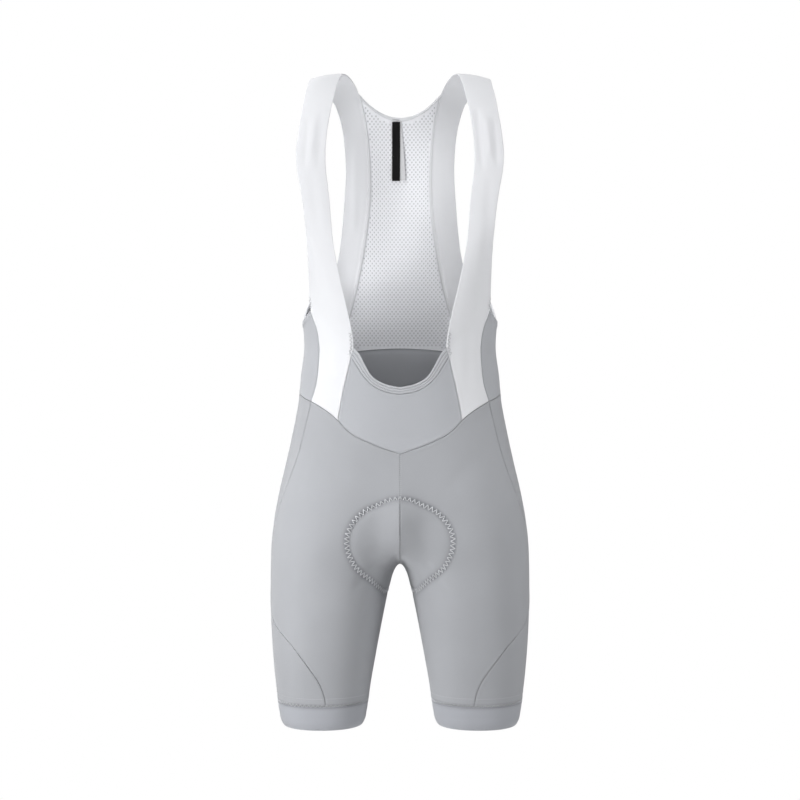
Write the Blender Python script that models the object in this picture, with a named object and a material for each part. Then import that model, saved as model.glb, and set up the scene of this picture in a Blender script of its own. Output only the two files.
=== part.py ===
"""Bib cycling shorts, filled out as on a wearer but empty.

Metres, +Z up. The origin is midway between the tops of the two shoulder straps.
+X is the garment's own left, -Y is its front.
Every panel is a thin closed wall laid on one plain general form.
"""
import math

import bmesh
import bpy
import numpy as np

# Walls and seams.
WALL = 0.0013
MESH_WALL = 0.0010
BINDING_WALL = 0.0022
BINDING_LIFT = 0.0004
SEAM_INSET = 0.0002
LIE_GAP = 0.0003

# General form. The fold is how closely the two halves of a section meet at the middle.
FOLD = 0.016
ROUNDNESS = 2.15
CROTCH = -0.666
# height, centre, half_width, front, back
FORM = (
    (-0.335, 0.0000, 0.1340, 0.097, 0.102),
    (-0.374, 0.0000, 0.1320, 0.098, 0.094),
    (-0.410, 0.0000, 0.1365, 0.099, 0.096),
    (-0.443, 0.0050, 0.1343, 0.101, 0.100),
    (-0.484, 0.0210, 0.1258, 0.104, 0.110),
    (-0.525, 0.0412, 0.1144, 0.106, 0.120),
    (-0.566, 0.0616, 0.1036, 0.108, 0.127),
    (-0.607, 0.0783, 0.0944, 0.106, 0.127),
    (-0.630, 0.0863, 0.0889, 0.104, 0.123),
    (-0.648, 0.0920, 0.0844, 0.101, 0.118),
    (-0.666, 0.0966, 0.0806, 0.098, 0.112),
    (-0.676, 0.0980, 0.0794, 0.097, 0.110),
    (-0.717, 0.1012, 0.0762, 0.092, 0.100),
    (-0.758, 0.1039, 0.0722, 0.086, 0.092),
    (-0.799, 0.1059, 0.0675, 0.079, 0.084),
    (-0.826, 0.1068, 0.0640, 0.073, 0.078),
    (-0.854, 0.1070, 0.0603, 0.067, 0.071),
    (-0.887, 0.1069, 0.0549, 0.061, 0.065),
)

# The cloth is full over the pad in front and spans the dip between the halves behind.
# height, fullness in front, fullness behind
FULLNESS = (
    (-0.490, 0.000, 0.000),
    (-0.525, 0.004, 0.001),
    (-0.566, 0.013, 0.004),
    (-0.607, 0.030, 0.010),
    (-0.635, 0.034, 0.013),
    (-0.655, 0.026, 0.012),
    (-0.675, 0.010, 0.005),
    (-0.700, 0.000, 0.000),
)
FULL_REACH = 0.030
FULL_CREASE = 0.005
FULL_FROM = 0.012
FULL_WHOLE = 0.055

# Cut lines. Angles go round a section: 0 at the outer side, -90 in front, 90 behind.
# height, angle
SIDE_SEAM = (
    (-0.4449, -26.3),
    (-0.4800, -28.0),
    (-0.5100, -29.9),
    (-0.5600, -29.0),
    (-0.5975, -22.0),
    (-0.6400, -6.0),
    (-0.6750, 4.0),
    (-0.7100, -4.0),
    (-0.7350, -22.0),
    (-0.7571, -50.0),
    (-0.7939, -75.5),
    (-0.8278, -91.6),
    (-0.8510, -96.0),
)
# across, height of the waist seam in front
WAIST_FRONT = (
    (0.0000, -0.5137),
    (0.0371, -0.5005),
    (0.0714, -0.4811),
    (0.0822, -0.4693),
    (0.0982, -0.4569),
    (0.1189, -0.4449),
)
# angle, height of the waist seam round the side and back
WAIST_BACK = (
    (-26.3, -0.4449),
    (-7.4, -0.4355),
    (30.0, -0.4315),
    (90.0, -0.4300),
)
# height, across
STRAP_SEAM_INNER = (
    (-0.4693, 0.0819),
    (-0.4338, 0.0757),
    (-0.4034, 0.0684),
    (-0.3771, 0.0625),
)
STRAP_SEAM_OUTER = (
    (-0.4449, 0.1189),
    (-0.4217, 0.1120),
    (-0.3976, 0.1091),
    (-0.3736, 0.1080),
    (-0.3556, 0.1100),
    (-0.3372, 0.1149),
    (-0.3234, 0.1206),
)
# share of the bib's half width, height of its top edge
BIB_TOP = (
    (0.00, -0.4353),
    (0.33, -0.4315),
    (0.55, -0.4240),
    (0.75, -0.4110),
    (0.90, -0.3960),
    (1.00, -0.3860),
)
# share of the neck's half width, height of the open edge
NECK_EDGE = (
    (0.00, -0.4260),
    (0.30, -0.4224),
    (0.64, -0.4085),
    (0.90, -0.3800),
    (1.00, -0.3740),
)
NECK_HALF = 0.0612

# Strap from the bib's corner over the shoulder to the mesh corner at the back of the neck.
# inner x, y, z, outer x, y, z, crown
STRAP_OVER = (
    (0.0640, -0.0935, -0.350, 0.1225, -0.0560, -0.305, 0.0050),
    (0.0757, -0.0980, -0.298, 0.1226, -0.0720, -0.280, 0.0042),
    (0.0864, -0.0960, -0.245, 0.1234, -0.0850, -0.240, 0.0030),
    (0.0925, -0.0930, -0.180, 0.1290, -0.0900, -0.180, 0.0022),
    (0.0982, -0.0880, -0.125, 0.1375, -0.0860, -0.125, 0.0020),
    (0.0959, -0.0800, -0.084, 0.1354, -0.0790, -0.090, 0.0020),
    (0.0913, -0.0680, -0.055, 0.1316, -0.0680, -0.062, 0.0020),
    (0.0869, -0.0520, -0.030, 0.1284, -0.0530, -0.038, 0.0020),
    (0.0830, -0.0320, -0.011, 0.1250, -0.0330, -0.018, 0.0020),
    (0.0760, 0.0000, 0.0048, 0.1205, 0.0000, -0.0030, 0.0020),
    (0.0670, 0.0250, 0.0010, 0.1075, 0.0230, -0.0110, 0.0020),
    (0.0576, 0.0520, -0.0143, 0.0916, 0.0450, -0.0306, 0.0018),
)
# Strap down the back, along the mesh seam, to the yoke.
STRAP_BACK = (
    (0.0576, 0.0520, -0.0143, 0.0916, 0.0450, -0.0306, 0.0018),
    (0.0509, 0.0750, -0.0410, 0.0825, 0.0680, -0.0568, 0.0016),
    (0.0476, 0.0860, -0.0660, 0.0795, 0.0790, -0.0780, 0.0014),
    (0.0448, 0.0970, -0.1120, 0.0775, 0.0910, -0.1155, 0.0012),
    (0.0464, 0.1010, -0.1695, 0.0806, 0.0945, -0.1715, 0.0012),
    (0.0522, 0.0990, -0.2166, 0.0845, 0.0930, -0.2150, 0.0014),
    (0.0603, 0.0940, -0.2650, 0.0915, 0.0840, -0.2540, 0.0024),
    (0.0687, 0.0880, -0.3050, 0.1080, 0.0690, -0.2840, 0.0044),
    (0.0790, 0.0810, -0.3400, 0.1270, 0.0410, -0.3070, 0.0068),
    (0.0920, 0.0708, -0.3780, 0.1338, 0.0060, -0.3360, 0.0085),
)
# height, depth of the middle of the mesh back
MESH_MIDDLE = (
    (-0.0420, 0.0840),
    (-0.0800, 0.0970),
    (-0.1200, 0.1050),
    (-0.1700, 0.1085),
    (-0.2200, 0.1070),
    (-0.2700, 0.1020),
    (-0.3200, 0.0970),
    (-0.3694, 0.0945),
)
MESH_SEAM_DROP = 0.0086
BACK_BINDING_WIDTH = 0.006

# Seat pad. length along the middle line from the crotch, half width
PAD_SHAPE = (
    (-0.150, 0.0200),
    (-0.138, 0.0400),
    (-0.115, 0.0620),
    (-0.088, 0.0700),
    (-0.050, 0.0560),
    (0.000, 0.0400),
    (0.045, 0.0540),
    (0.085, 0.0740),
    (0.120, 0.0790),
    (0.150, 0.0680),
    (0.170, 0.0420),
    (0.180, 0.0200),
)
PAD_THICK = 0.0065
PAD_EDGE = 0.0018
PAD_GAP = 0.0014
PAD_ROWS = 18
PAD_COLUMNS = 12
# Pad rows lie closer together near its two ends; 0 would be closest.
PAD_ENDS = 0.12

# Labels hanging inside the back of the neck, bare of any print.
# name, left, right, top, bottom, thickness, colour
LABELS = (
    ("care_label", -0.0120, 0.0080, -0.0484, -0.128, 0.0010, (0.80, 0.80, 0.80)),
    ("size_label", -0.0100, 0.0010, -0.0484, -0.125, 0.0010, (0.02, 0.02, 0.022)),
)

# How finely each piece is divided. Pieces that meet share these counts.
STRAP_COLUMNS = 4
BIB_HALF = 8
BACK_COLUMNS = 14
ARM_COLUMNS = 4
MESH_HALF = BACK_COLUMNS - ARM_COLUMNS - STRAP_COLUMNS
UPPER_ROWS = 14
LOWER_ROWS = 10
BIB_ROWS = 4
YOKE_ROWS = 5
OVER_ROWS = 19
BACK_ROWS = 16
BAND_ROWS = 2
HEM_SEAM = -0.851
HEM = -0.8855
FINE = 240
PROBE = 0.0002
SETTLE_ROUNDS = 4
WALK_STEPS = 3
# Leg rows leave the waist seam's own spacing within this share of the way to the crotch.
SETTLED_BY = 0.625

GREY = (0.35, 0.36, 0.38)
BAND_GREY = (0.38, 0.40, 0.43)
WHITE = (0.80, 0.81, 0.83)
MESH_WHITE = (0.74, 0.75, 0.77)
PAD_GREY = (0.20, 0.20, 0.21)


def through(table, keys):
    """Read a table's other columns at the given first-column values, smoothly."""
    rows = np.array(sorted(table), float)
    known = rows[:, 0]
    keys = np.clip(np.asarray(keys, float), known[0], known[-1])
    at = np.clip(np.searchsorted(known, keys, side="right") - 1, 0, len(known) - 2)
    step = known[at + 1] - known[at]
    t = (keys - known[at]) / step
    columns = []
    for values in rows[:, 1:].T:
        slope = np.gradient(values, known)
        start = (1 + 2 * t) * (1 - t) ** 2 * values[at] + t * (1 - t) ** 2 * step * slope[at]
        end = t * t * (3 - 2 * t) * values[at + 1] - t * t * (1 - t) * step * slope[at + 1]
        columns.append(start + end)
    return columns


def section(z):
    """Centre, half width, front depth and back depth of the form at a height."""
    return through(FORM, z)


def on_form(angle, z):
    """Points on the left half of the form at angles in degrees and heights."""
    centre, half, front, back = section(z)
    turn = np.radians(angle)
    depth = np.where(np.sin(turn) < 0, front, back)
    reach = (np.abs(np.cos(turn) / half) ** ROUNDNESS
             + np.abs(np.sin(turn) / depth) ** ROUNDNESS) ** (-1 / ROUNDNESS)
    folded = centre + reach * np.cos(turn)
    x = np.sqrt(np.maximum(folded ** 2 - FOLD ** 2, 0))
    return np.stack([x, reach * np.sin(turn), np.asarray(z) + 0 * x], -1)


def angle_at(x, z, side):
    """Angle of the point at x on the front (side -1) or the back (side 1)."""
    centre, half, front, back = section(z)
    across = (np.sqrt(np.asarray(x) ** 2 + FOLD ** 2) - centre) / half
    rise = np.clip(1 - np.abs(across) ** ROUNDNESS, 0, None) ** (1 / ROUNDNESS)
    depth = front if side < 0 else back
    return np.degrees(np.arctan2(side * rise * depth, across * half))


def at_x(x, z, side):
    """Points of the form at a signed x on the front (side -1) or the back (side 1)."""
    points = on_form(angle_at(x, z, side), z)
    points[..., 0] = x
    return points


def outside(points):
    """How far outside the form the points are, as a share of its size."""
    centre, half, front, back = section(points[..., 2])
    across = (np.sqrt(points[..., 0] ** 2 + FOLD ** 2) - centre) / half
    depth = np.where(points[..., 1] < 0, front, back)
    return np.abs(across) ** ROUNDNESS + np.abs(points[..., 1] / depth) ** ROUNDNESS - 1


def slope_of_form(points):
    """Steepest way out of the form at each point."""
    ways = []
    for axis in np.eye(3) * PROBE:
        ways.append((outside(points + axis) - outside(points - axis)) / (2 * PROBE))
    return np.stack(ways, -1)


def unit(vectors):
    """Vectors of length one."""
    return vectors / np.maximum(np.linalg.norm(vectors, axis=-1, keepdims=True), 1e-9)


def form_outward(points):
    """Outward directions of the form at its points."""
    return unit(slope_of_form(points))


def outward(points):
    """Outward directions of a free grid: along its rows crossed with its columns."""
    along = np.gradient(points, axis=0)
    across = np.gradient(points, axis=1)
    return unit(np.cross(along, across))


def spaced(line, shares):
    """Points at shares of a line's length."""
    steps = np.linalg.norm(np.diff(line, axis=0), axis=1)
    run = np.concatenate([[0], np.cumsum(steps)])
    at = np.asarray(shares) * run[-1]
    return np.stack([np.interp(at, run, line[:, k]) for k in range(line.shape[1])], -1)


def mirrored(points):
    """The same points, or directions, on the other side."""
    return points * (-1, 1, 1)


def trimmed(points):
    """The grid drawn in at its four edges, so that sewn neighbours stay apart."""
    grid = points.copy()
    for ends in ((0, 1), (-1, -2)):
        grid[ends[0]] += SEAM_INSET * unit(grid[ends[1]] - grid[ends[0]])
    for ends in ((0, 1), (-1, -2)):
        grid[:, ends[0]] += SEAM_INSET * unit(grid[:, ends[1]] - grid[:, ends[0]])
    return grid


def filled(points):
    """Points pushed out to the cloth's fullness at the middle, in front and behind."""
    x, y, z = np.moveaxis(points, -1, 0)
    front, behind = through(FULLNESS, z)
    full = np.where(y < 0, -front, behind)
    near = np.exp((FULL_CREASE ** 2 - (np.abs(x) + FULL_CREASE) ** 2) / FULL_REACH ** 2)
    t = np.clip((np.abs(y) - FULL_FROM) / (FULL_WHOLE - FULL_FROM), 0, 1)
    return np.stack([x, y + full * near * t * t * (3 - 2 * t), z], -1)


def material(name, colour, roughness):
    """Plain cloth surface."""
    surface = bpy.data.materials.new(name)
    surface.use_nodes = True
    shader = surface.node_tree.nodes["Principled BSDF"]
    shader.inputs["Base Color"].default_value = (*colour, 1)
    shader.inputs["Roughness"].default_value = roughness
    shader.inputs["Metallic"].default_value = 0
    return surface


def solid(name, outer, inner, colour, roughness=0.85, ring=False):
    """Closed thin wall between an outer and an inner grid; a ring joins its two sides."""
    rows, columns = outer.shape[:2]
    outer, inner = filled(outer), filled(inner)
    shape = bmesh.new()
    out, back = [[[shape.verts.new(p) for p in row] for row in grid.tolist()]
                 for grid in (outer, inner)]
    across = columns if ring else columns - 1
    for i in range(rows - 1):
        for j in range(across):
            k = (j + 1) % columns
            corners = ((i, j), (i + 1, j), (i + 1, k), (i, k))
            spans = [np.linalg.norm(outer[corners[n]] - outer[corners[n + 2]]) for n in (0, 1)]
            first = 0 if spans[0] <= spans[1] else 1
            turned = corners[first:] + corners[:first]
            for a, b, c in ((0, 1, 2), (0, 2, 3)):
                shape.faces.new([out[turned[n][0]][turned[n][1]] for n in (a, b, c)])
                shape.faces.new([back[turned[n][0]][turned[n][1]] for n in (c, b, a)])
    for j in range(across):
        k = (j + 1) % columns
        shape.faces.new((out[0][j], out[0][k], back[0][k], back[0][j]))
        shape.faces.new((out[-1][k], out[-1][j], back[-1][j], back[-1][k]))
    if not ring:
        for i in range(rows - 1):
            shape.faces.new((out[i + 1][0], out[i][0], back[i][0], back[i + 1][0]))
            shape.faces.new((out[i][-1], out[i + 1][-1], back[i + 1][-1], back[i][-1]))
    if shape.calc_volume(signed=True) < 0:
        bmesh.ops.reverse_faces(shape, faces=shape.faces[:])
    mesh = bpy.data.meshes.new(name)
    shape.to_mesh(mesh)
    shape.free()
    made = bpy.data.objects.new(name, mesh)
    made.data.materials.append(material(name + "_cloth", colour, roughness))
    bpy.context.scene.collection.objects.link(made)
    return made


def panel(name, points, directions, colour, wall=WALL, lift=0.0, least_x=None):
    """Cloth panel: its outer face on the points, its wall inside them."""
    grid = trimmed(points)
    if least_x is not None:
        grid[..., 0] = np.maximum(grid[..., 0], least_x)
    return solid(name, grid + directions * lift, grid + directions * (lift - wall), colour)


def twin(made, name):
    """The same piece for the garment's right side."""
    shape = bmesh.new()
    shape.from_mesh(made.data)
    bmesh.ops.scale(shape, vec=(-1, 1, 1), verts=shape.verts[:])
    bmesh.ops.reverse_faces(shape, faces=shape.faces[:])
    mesh = bpy.data.meshes.new(name)
    shape.to_mesh(mesh)
    shape.free()
    other = bpy.data.objects.new(name, mesh)
    cloth = made.data.materials[0].copy()
    cloth.name = name + "_cloth"
    other.data.materials.append(cloth)
    bpy.context.scene.collection.objects.link(other)


def waist_front():
    """Waist seam points from the side seam to the centre front."""
    strap = np.linspace(WAIST_FRONT[-1][0], STRAP_SEAM_INNER[0][1], STRAP_COLUMNS + 1)
    bib = np.linspace(STRAP_SEAM_INNER[0][1], 0, BIB_HALF + 1)
    x = np.concatenate([strap, bib[1:]])
    return at_x(x, through(WAIST_FRONT, x)[0], -1)


def waist_back():
    """Angles and heights of the waist seam from the side seam to the centre back."""
    last = angle_at(0, WAIST_BACK[-1][1], 1)
    line_angles = np.linspace(WAIST_BACK[0][0], last, FINE)
    line = on_form(line_angles, through(WAIST_BACK, line_angles)[0])
    angles = spaced(np.column_stack([line, line_angles]), np.linspace(0, 1, BACK_COLUMNS + 1))[:, 3]
    return angles, through(WAIST_BACK, angles)[0]


def middle_heights(top, side):
    """Heights of leg rows down the centre seam, then down the inseam."""
    u = np.linspace(1, 0, FINE)
    heights = CROTCH + (top - CROTCH) * u ** 2
    line = at_x(0 * heights, heights, side)
    upper = spaced(line, np.linspace(0, 1, UPPER_ROWS + 1))[:, 2]
    heights = CROTCH + (HEM_SEAM - CROTCH) * u[::-1] ** 2
    line = on_form(side * 180.0 + 0 * heights, heights)
    lower = spaced(line, np.linspace(0, 1, LOWER_ROWS + 1))[:, 2]
    return np.concatenate([upper, lower[1:]])


def leg_panel(side):
    """Grid of the left leg's front (side -1) or back (side 1) panel, side seam first."""
    rows = UPPER_ROWS + LOWER_ROWS
    if side < 0:
        top = waist_front()
    else:
        top = on_form(*waist_back())
        top[-1, 0] = 0
    columns = len(top) - 1
    outer_heights = np.linspace(SIDE_SEAM[0][0], HEM_SEAM, rows + 1)
    outer_angles = through(SIDE_SEAM, outer_heights)[0]
    inner_heights = middle_heights(top[-1, 2], side)
    steps = np.linalg.norm(np.diff(top, axis=0), axis=1)
    top_shares = np.concatenate([[0], np.cumsum(steps)]) / steps.sum()
    grid = [top]
    t = np.linspace(0, 1, FINE)
    for i in range(1, rows + 1):
        settled = min(1, i / UPPER_ROWS / SETTLED_BY)
        inner_angle = angle_at(0, inner_heights[i], side) if i < UPPER_ROWS else side * 180.0
        angles = outer_angles[i] + (inner_angle - outer_angles[i]) * t
        bend = (1 - settled) * t + settled * (1 - (1 - t) ** 2)
        heights = outer_heights[i] + (inner_heights[i] - outer_heights[i]) * bend
        line = on_form(angles, heights)
        shares = (1 - settled) * top_shares + settled * np.linspace(0, 1, columns + 1)
        row = spaced(line, shares)
        if i <= UPPER_ROWS:
            row[-1, 0] = 0
        grid.append(row)
    return np.array(grid)


def make_legs():
    """Front and back leg panels and the hem bands of both legs."""
    front = leg_panel(-1)
    back = leg_panel(1)[:, ::-1]
    front_out = form_outward(front)
    back_out = form_outward(back)
    for name, grid, out in (("front_leg", front, front_out), ("back_leg", back, back_out)):
        made = panel(name + "_left", grid, out, GREY, least_x=SEAM_INSET)
        twin(made, name + "_right")
    seam = np.concatenate([back[-1], front[-1][1:-1]])
    centre = section(HEM_SEAM)[0]
    angles = np.degrees(np.arctan2(seam[:, 1], np.sqrt(seam[:, 0] ** 2 + FOLD ** 2) - centre))
    heights = np.linspace(HEM_SEAM - SEAM_INSET, HEM, BAND_ROWS + 1)
    band = np.array([on_form(angles, z + 0 * angles) for z in heights])
    out = form_outward(band)
    made = solid("hem_band_left", band, band - out * WALL, BAND_GREY, ring=True)
    twin(made, "hem_band_right")


def bib_grid():
    """Grid of the front bib, from its left strap seam to its right one."""
    u = np.linspace(1, -1, 2 * BIB_HALF + 1)
    low = through(WAIST_FRONT, np.abs(u) * STRAP_SEAM_INNER[0][1])[0]
    high = through(BIB_TOP, np.abs(u))[0]
    grid = []
    for share in np.linspace(0, 1, BIB_ROWS + 1):
        z = low + (high - low) * share
        half = through(STRAP_SEAM_INNER, z[0])[0]
        grid.append(at_x(u * half, z, -1))
    return np.array(grid)


def make_bib():
    """Front bib and the band that binds its neck edge."""
    bib = bib_grid()
    panel("front_bib", bib, form_outward(bib), GREY)
    u = np.linspace(1, -1, 2 * BIB_HALF + 1)
    edge = at_x(u * NECK_HALF, through(NECK_EDGE, np.abs(u))[0], -1)
    band = np.array([bib[-1], edge])
    panel("front_neck_binding", band, form_outward(band), GREY, BINDING_WALL, BINDING_LIFT)


def strap_ends(table, count):
    """Inner edge, outer edge and crown of strap rows, evenly spaced along a table."""
    rows = np.array(table)
    middle = (rows[:, 0:3] + rows[:, 3:6]) / 2
    run = np.concatenate([[0], np.cumsum(np.linalg.norm(np.diff(middle, axis=0), axis=1))])
    keyed = np.column_stack([run, rows]).tolist()
    columns = through(keyed, np.linspace(0, run[-1], count + 1))
    return np.stack(columns[0:3], -1), np.stack(columns[3:6], -1), columns[6]


def strap_grid():
    """Grid of the left strap, outer edge first, from the waist seam to the yoke."""
    share = np.linspace(0, 1, STRAP_COLUMNS + 1)
    bib_side = bib_grid()[:, 0]
    yoke_heights = np.linspace(STRAP_SEAM_OUTER[0][0], STRAP_SEAM_OUTER[-1][0], YOKE_ROWS + 1)
    neck_corner = at_x(NECK_HALF, NECK_EDGE[-1][1], -1)
    inner = np.concatenate([bib_side, neck_corner[None]])
    outer = at_x(through(STRAP_SEAM_OUTER, yoke_heights)[0], yoke_heights, -1)
    sewn = [waist_front()[:STRAP_COLUMNS + 1]]
    for i in range(1, YOKE_ROWS + 1):
        x = outer[i, 0] + (inner[i, 0] - outer[i, 0]) * share
        z = outer[i, 2] + (inner[i, 2] - outer[i, 2]) * share
        sewn.append(at_x(x, z, -1))
    first = np.concatenate([inner[-1], outer[-1], [STRAP_OVER[0][6]]])
    over = strap_ends((tuple(first),) + STRAP_OVER, OVER_ROWS)
    back = strap_ends(STRAP_BACK, BACK_ROWS)
    ends_in = np.concatenate([over[0][1:], back[0][1:]])
    ends_out = np.concatenate([over[1][1:], back[1][1:]])
    crown = np.concatenate([over[2][1:], back[2][1:]])
    along = np.gradient((ends_in + ends_out) / 2, axis=0)
    rise = unit(np.cross(along, ends_in - ends_out))
    free = ends_out[:, None] + (ends_in - ends_out)[:, None] * share[:, None]
    swell = 1 - (2 * share - 1) ** 2
    free = free + rise[:, None] * crown[:, None, None] * swell[:, None]
    grid = np.concatenate([np.array(sewn), free])
    angles = np.degrees(np.arctan2(grid[-1, :, 1], grid[-1, :, 0]))
    ends = angle_at(grid[-1, [0, -1], 0], grid[-1, [0, -1], 2], 1)
    seat = np.interp(angles, angles[[0, -1]], ends)
    grid[-1] = on_form(seat, grid[-1, :, 2])
    return grid


def make_straps():
    """Both shoulder straps."""
    grid = strap_grid()
    out = outward(grid)
    sewn = YOKE_ROWS + 1
    out[:sewn] = form_outward(grid[:sewn])
    out[-1] = form_outward(grid[-1])
    twin(panel("strap_left", grid, out, WHITE), "strap_right")
    return grid, out


def mesh_grid(strap, strap_out):
    """Grid and outward directions of the mesh back, from its left edge to its right."""
    side = strap[-(BACK_ROWS + 1):, -1]
    side_out = strap_out[-(BACK_ROWS + 1):, -1]
    heights = np.linspace(MESH_MIDDLE[0][0], MESH_MIDDLE[-1][0], FINE)
    line = np.column_stack([0 * heights, through(MESH_MIDDLE, heights)[0], heights])
    middle = spaced(line, np.linspace(0, 1, BACK_ROWS + 1))
    u = np.linspace(1, -1, 2 * MESH_HALF + 1)
    bulge = (1 - u ** 2)[:, None]
    rows = []
    for edge, centre in zip(side, middle):
        level = edge * (0, 1, 1) + (centre - edge) * (0, 1, 1) * bulge
        level[:, 0] = u * edge[0]
        rows.append(level)
    grid = np.array(rows)
    seam = MESH_MIDDLE[-1][0] - MESH_SEAM_DROP * u ** 2
    grid[-1] = at_x(u * side[-1, 0], seam, 1)
    out = outward(grid)
    out[:, 0] = side_out
    out[:, -1] = mirrored(side_out)
    out[-1] = form_outward(grid[-1])
    return grid, out


def lying_on(cloth, inward, across, top, bottom):
    """Grid on the mesh's own facets at the given x values, and its inward directions."""
    middle = cloth[::-1, MESH_HALF, 2]
    heights = np.array([top] + [z for z in middle[::-1] if bottom < z < top] + [bottom])
    lines = []
    for x in across:
        level = [[np.interp(x, row[::-1, 0], row[::-1, k]) for k in (1, 2)] for row in cloth[::-1]]
        depth, height = np.array(level).T
        lines.append([(x, y, z) for y, z in zip(np.interp(heights, height, depth), heights)])
    ways = np.stack([np.interp(heights, middle, inward[::-1, k]) for k in range(3)], -1)
    return np.array(lines).transpose(1, 0, 2), ways[:, None]


def make_mesh_back(strap, strap_out):
    """Mesh back, its neck binding and the labels inside it."""
    grid, out = mesh_grid(strap, strap_out)
    first = unit(grid[1] - grid[0])
    seam = grid[0] + first * BACK_BINDING_WIDTH
    cloth = grid.copy()
    cloth[0] = seam + first * LIE_GAP
    panel("mesh_back", cloth, out, MESH_WHITE, MESH_WALL)
    binding = np.array([grid[0], seam])
    panel("back_neck_binding", binding, out[[0, 0]], WHITE, BINDING_WALL, BINDING_LIFT)
    depth = MESH_WALL
    for name, left, right, top, bottom, thick, colour in LABELS:
        depth += LIE_GAP
        face, lay = lying_on(cloth, -out[:, MESH_HALF], (left, 0, right), top, bottom)
        solid(name, face + lay * depth, face + lay * (depth + thick), colour)
        depth += thick
    return grid


def make_yoke(strap, mesh):
    """Yoke from strap seam to strap seam round the sides and the back."""
    low_angles, low_heights = waist_back()
    rear = strap[-1]
    arm_start = strap[YOKE_ROWS, 0]
    arm_angles = np.linspace(angle_at(arm_start[0], arm_start[2], -1),
                             angle_at(rear[0, 0], rear[0, 2], 1), ARM_COLUMNS + 1)
    dip = np.linspace(0, 1, ARM_COLUMNS + 1)
    arm_heights = arm_start[2] + (rear[0, 2] - arm_start[2]) * (1 - (1 - dip) ** 2)
    rear_angles = angle_at(rear[1:, 0], rear[1:, 2], 1)
    mesh_row = mesh[-1, :MESH_HALF + 1]
    mesh_angles = angle_at(mesh_row[1:, 0], mesh_row[1:, 2], 1)
    high_angles = np.concatenate([arm_angles, rear_angles, mesh_angles])
    high_heights = np.concatenate([arm_heights, rear[1:, 2], mesh_row[1:, 2]])
    grid = []
    columns = np.arange(BACK_COLUMNS + 1)
    for share in np.linspace(0, 1, YOKE_ROWS + 1):
        z = low_heights + (high_heights - low_heights) * share
        angles = low_angles + (high_angles - low_angles) * share
        seam = angle_at(through(STRAP_SEAM_OUTER, z[0])[0], z[0], -1)
        angles = angles + (seam - angles[0]) * np.clip(1 - columns / ARM_COLUMNS, 0, 1)
        row = on_form(angles, z)
        row[-1, 0] = 0
        grid.append(row)
    half = np.array(grid)
    whole = np.concatenate([half, mirrored(half)[:, -2::-1]], axis=1)
    panel("back_yoke", whole, form_outward(whole), GREY)


def settle(points):
    """Points moved onto the form."""
    for _ in range(SETTLE_ROUNDS):
        slope = slope_of_form(points)
        size = np.maximum((slope ** 2).sum(-1), 1e-9)
        points = points - slope * (outside(points) / size)[..., None]
    return points


def pad_surface():
    """Points on the form, walked sideways from the middle line, within the pad's shape."""
    u = np.linspace(1, 0, FINE)
    lines = []
    for side in (-1, 1):
        heights = CROTCH + (SIDE_SEAM[2][0] - CROTCH) * u ** 2
        lines.append(at_x(0 * heights, heights, side)[::-1])
    front, back = lines
    closer = -np.cos(np.linspace(PAD_ENDS, 1 - PAD_ENDS, PAD_ROWS + 1) * math.pi)
    s = np.interp(closer, closer[[0, -1]], (PAD_SHAPE[0][0], PAD_SHAPE[-1][0]))
    middle = []
    for length in s:
        line = front if length < 0 else back
        steps = np.linalg.norm(np.diff(line, axis=0), axis=1)
        middle.append(spaced(line, [abs(length) / steps.sum()])[0])
    middle = np.array(middle)
    half = through(PAD_SHAPE, s)[0]
    count = PAD_COLUMNS // 2
    walk = [middle]
    way = np.tile((1.0, 0.0, 0.0), (len(middle), 1))
    for _ in range(count):
        here = walk[-1]
        for _ in range(WALK_STEPS):
            here = settle(here + way * (half / count / WALK_STEPS)[:, None])
            out = form_outward(here)
            way = unit(way - out * (way * out).sum(-1, keepdims=True))
        walk.append(here)
    left = np.stack(walk, 1)
    return np.concatenate([mirrored(left)[:, :0:-1], left], axis=1)


def make_pad():
    """Seat pad inside the crotch, thickest along its middle."""
    face = pad_surface()
    out = form_outward(face)
    across = np.linspace(-1, 1, PAD_COLUMNS + 1)
    along = np.linspace(-1, 1, PAD_ROWS + 1)
    full = (1 - np.abs(across) ** 3)[None] * (1 - np.abs(along) ** 4)[:, None]
    thick = PAD_EDGE + (PAD_THICK - PAD_EDGE) * full
    depth = WALL + PAD_GAP
    solid("seat_pad", face - out * depth, face - out * (depth + thick)[..., None], PAD_GREY, 0.9)


for thing in list(bpy.data.objects):
    bpy.data.objects.remove(thing, do_unlink=True)

make_legs()
make_bib()
left_strap, left_strap_out = make_straps()
mesh_points = make_mesh_back(left_strap, left_strap_out)
make_yoke(left_strap, mesh_points)
make_pad()
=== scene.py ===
"""Bib cycling shorts: knit cloth, perforated mesh, straps, bindings, seams, stitching and pad.

Every piece lies on the same form and cut lines as the part's own solids.
Metres, +Z up. +X is the garment's own left, -Y is its front.
"""
import math

import bmesh
import bpy
import numpy as np
from mathutils import Matrix, Vector


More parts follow.
